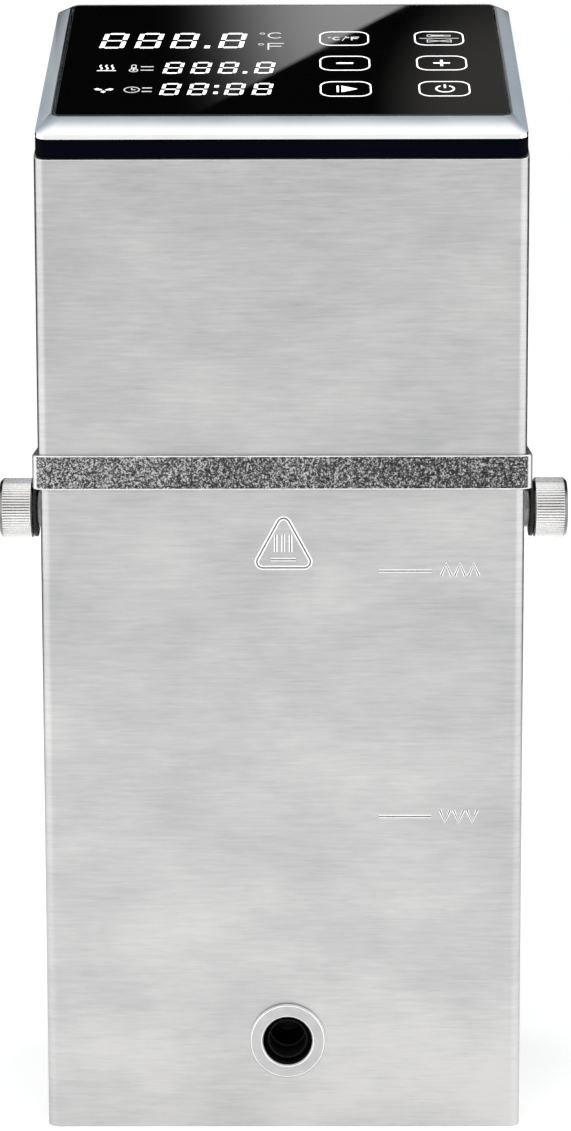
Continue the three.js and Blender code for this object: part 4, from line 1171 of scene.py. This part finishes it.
# marks in millimetres of x and z on the sleeve's front
TRIANGLE = {"left": -8.0, "right": 8.6, "low": 152.3, "high": 165.7, "radius": 1.6}
STROKE_COLUMNS = (-1.75, 0.2, 2.15)
STROKE_ENDS = (156.5, 161.1)
BAR_ENDS = (-3.0, 3.5)
BAR_HEIGHT = 154.45
LEVEL_LINE = 13.9
CHEVRON = {"x": 41.6, "width": 2.7, "height": 3.2, "pitch": 3.6, "count": 3}


def front_mark():
    """A plain rounded triangle with three upright strokes over a bar."""
    engraved("triangle_mark", [(rounded_triangle(**TRIANGLE), True)])
    low, high = STROKE_ENDS
    strokes = [([(x, low), (x, high)], False) for x in STROKE_COLUMNS]
    engraved("triangle_strokes", strokes, FINE_MARK_WIDTH)
    bar_line = [(x, BAR_HEIGHT) for x in BAR_ENDS]
    engraved("triangle_bar", [(bar_line, False)], FINE_MARK_WIDTH)


def level_mark(name, x, z, chevron_z, up):
    """A level line with chevrons beside it, pointing up at the highest level and down at the lowest."""
    engraved(name + "_line", [([(x, z), (x + LEVEL_LINE, z)], False)], FINE_MARK_WIDTH)
    base, tip = (0, CHEVRON["height"]) if up else (CHEVRON["height"], 0)
    lines = []
    for i in range(CHEVRON["count"]):
        left = CHEVRON["x"] + i * CHEVRON["pitch"]
        outline = [(0, base), (CHEVRON["width"] / 2, tip), (CHEVRON["width"], base)]
        lines.append(([(left + across, chevron_z + rise) for across, rise in outline], False))
    engraved(name + "_chevrons", lines, FINE_MARK_WIDTH)


def sleeve_marks():
    front_mark()
    level_mark("highest_level", 25.25, 151.4, 150.1, up=True)
    level_mark("lowest_level", 25.45, 85.5, 84.0, up=False)


# ---------------------------------------- studio

FLOOR_HALF = 4.0
CARD_REACH = 0.62
CARD_LOW = -0.02
CARD_HIGH = 0.5
CARD_STEPS = 10
BRIGHT_BEARINGS = (40, 102)  # degrees round from the front
DARK_BEARINGS = (112, 178)


def floor():
    size = FLOOR_HALF
    corners = [(-size, -size, 0), (size, -size, 0), (size, size, 0), (-size, size, 0)]
    mesh = bpy.data.meshes.new("floor")
    mesh.from_pydata(corners, [], [(0, 1, 2, 3)])
    mesh.materials.append(material("look_floor", floor_paint))
    made = bpy.data.objects.new("floor", mesh)
    bpy.context.scene.collection.objects.link(made)


def glow(level):
    """A reflector's even glow."""
    def paint(g):
        fall = g.noise(2, detail=1)
        return {
            "Base Color": (0, 0, 0, 1),
            "Roughness": g.ranged(fall, 0, 1, 0.9, 1.0),
            "Specular IOR Level": 0.0,
            "Emission Color": g.blend(fall, grey(0.97), grey(1.0)),
            "Emission Strength": level,
        }
    return paint


def card(name, start, end, level):
    """A curved reflector that only shows in reflections, between two bearings from the front."""
    vertices = []
    for z in (CARD_LOW, CARD_HIGH):
        for i in range(CARD_STEPS + 1):
            bearing = math.radians(start + (end - start) * i / CARD_STEPS)
            vertices.append((CARD_REACH * math.sin(bearing), -CARD_REACH * math.cos(bearing), z))
    above = CARD_STEPS + 1
    faces = [(i, i + 1, above + i + 1, above + i) for i in range(CARD_STEPS)]
    mesh = bpy.data.meshes.new(name)
    mesh.from_pydata(vertices, [], faces)
    mesh.materials.append(material("look_" + name, glow(level)))
    made = bpy.data.objects.new(name, mesh)
    bpy.context.scene.collection.objects.link(made)
    made.visible_camera = False
    made.visible_diffuse = False
    made.visible_shadow = False


def reflectors():
    for label, side in (("left", -1), ("right", 1)):
        card("bright_card_" + label, *(side * bearing for bearing in BRIGHT_BEARINGS), 1.75)
        card("dark_card_" + label, *(side * bearing for bearing in DARK_BEARINGS), 0.02)


def studio_world():
    """A white studio with a dark gap high behind the object, for the glass to reflect."""
    world = bpy.data.worlds.new("studio")
    world.use_nodes = True
    bpy.context.scene.world = world
    g = Graph(world.node_tree)
    toward = g.add("ShaderNodeTexCoord").outputs["Generated"]

    def facing(direction):
        inputs = {0: toward, 1: Vector(direction).normalized()}
        return g.add("ShaderNodeVectorMath", inputs, operation="DOT_PRODUCT").outputs["Value"]

    gap = facing(GAP)
    dark = g.ranged(gap, 0.945, 0.988, 0.0, 1.0, "SMOOTHSTEP")
    wide = g.ranged(gap, 0.83, 0.93, 0.0, 1.0, "SMOOTHSTEP")
    height = g.ranged(facing((0, 0, 1)), 0.2, 0.95, 1.0, 1.25)
    sky = g.blend(wide, grey(1), (0.30, 0.35, 0.40))
    sky = g.blend(dark, sky, grey(0.002))
    # a softbox edge crosses the gap: white on one side, fading away from its upper corner
    edge = g.ranged(facing(SOFTBOX_EDGE), -0.0006, 0.0006, 0.0, 1.0)
    near_corner = g.ranged(facing(SOFTBOX_CORNER), 0.9958, 0.99995, 0.0, 1.0, "SMOOTHSTEP")
    fade = g.math("POWER", near_corner, 4.4)
    sky = g.blend(g.math("MULTIPLY", edge, fade), sky, grey(1.25))
    spill = g.ranged(facing(SPILL), 0.9991, 0.99998, 0.0, 0.17, "SMOOTHSTEP")
    sky = g.blend(spill, sky, (1, 0.96, 0.93))
    light = g.add("ShaderNodeBackground", {"Color": sky, "Strength": height})
    output = g.add("ShaderNodeOutputWorld")
    g.feed(output.inputs["Surface"], light)


def mirrored(x, s):
    """The direction in which the camera sees a point of the glass reflect."""
    point = PANEL @ Vector((x, s, 0))
    normal = (PANEL.to_3x3() @ Vector((0, 0, 1))).normalized()
    ray = (point - CAMERA_PLACE).normalized()
    return ray - 2 * ray.dot(normal) * normal


LIT_POINT = Vector((0, 0, 0.15))
LIGHT_SIDE = 0.9


def soft_light(name, place, power):
    """A square area light turned to the object, seen neither by the camera nor in reflections."""
    light = bpy.data.lights.new(name, "AREA")
    light.shape = "RECTANGLE"
    light.size = light.size_y = LIGHT_SIDE
    light.energy = power
    made = bpy.data.objects.new(name, light)
    bpy.context.scene.collection.objects.link(made)
    toward = LIT_POINT - Vector(place)
    made.location = place
    made.rotation_euler = toward.to_track_quat("-Z", "Y").to_euler()
    made.visible_camera = False
    made.visible_glossy = False


CAMERA_PLACE = Vector((5.7626 * MM, -868.1535 * MM, 278.877 * MM))
CAMERA_TURN = (0.345, 81.304, -0.124)  # about the frame's Z, then tilt and roll, in degrees
CAMERA_LENS = 101.161
CAMERA_SENSOR = 36

GAP = (0, 0.752, 0.659)  # the middle of the dark gap
SOFTBOX_CORNER = mirrored(34, 84)
SPILL = mirrored(58, 4)
SOFTBOX_EDGE = mirrored(-23, 0).cross(SOFTBOX_CORNER)


def camera():
    lens = bpy.data.cameras.new("camera")
    lens.lens = CAMERA_LENS
    lens.sensor_width = CAMERA_SENSOR
    made = bpy.data.objects.new("camera", lens)
    bpy.context.scene.collection.objects.link(made)
    turn, tilt, roll = (math.radians(angle) for angle in CAMERA_TURN)
    turned = Matrix.Rotation(tilt, 4, "X") @ Matrix.Rotation(roll, 4, "Z")
    made.matrix_world = Matrix.Translation(CAMERA_PLACE) @ Matrix.Rotation(turn, 4, "Z") @ turned
    bpy.context.scene.camera = made


def studio():
    floor()
    reflectors()
    studio_world()
    soft_light("key_light", (-0.5, -0.7, 1.1), 5)
    soft_light("fill_light", (0.8, -0.3, 0.8), 3)
    camera()
    bpy.context.scene.view_settings.view_transform = "Standard"


# ---------------------------------------- the object

dress_cad_nodes()
turn_round_nodes()
for side in ("left", "right"):
    thumb_screw(side)
clamp_rod()
clamp_knob()
for number in range(1, 5):
    hex_socket_screw(f"bracket_screw_{number}")
print_digits()
print_units()
print_icons()
print_keys()
sleeve_marks()
studio()
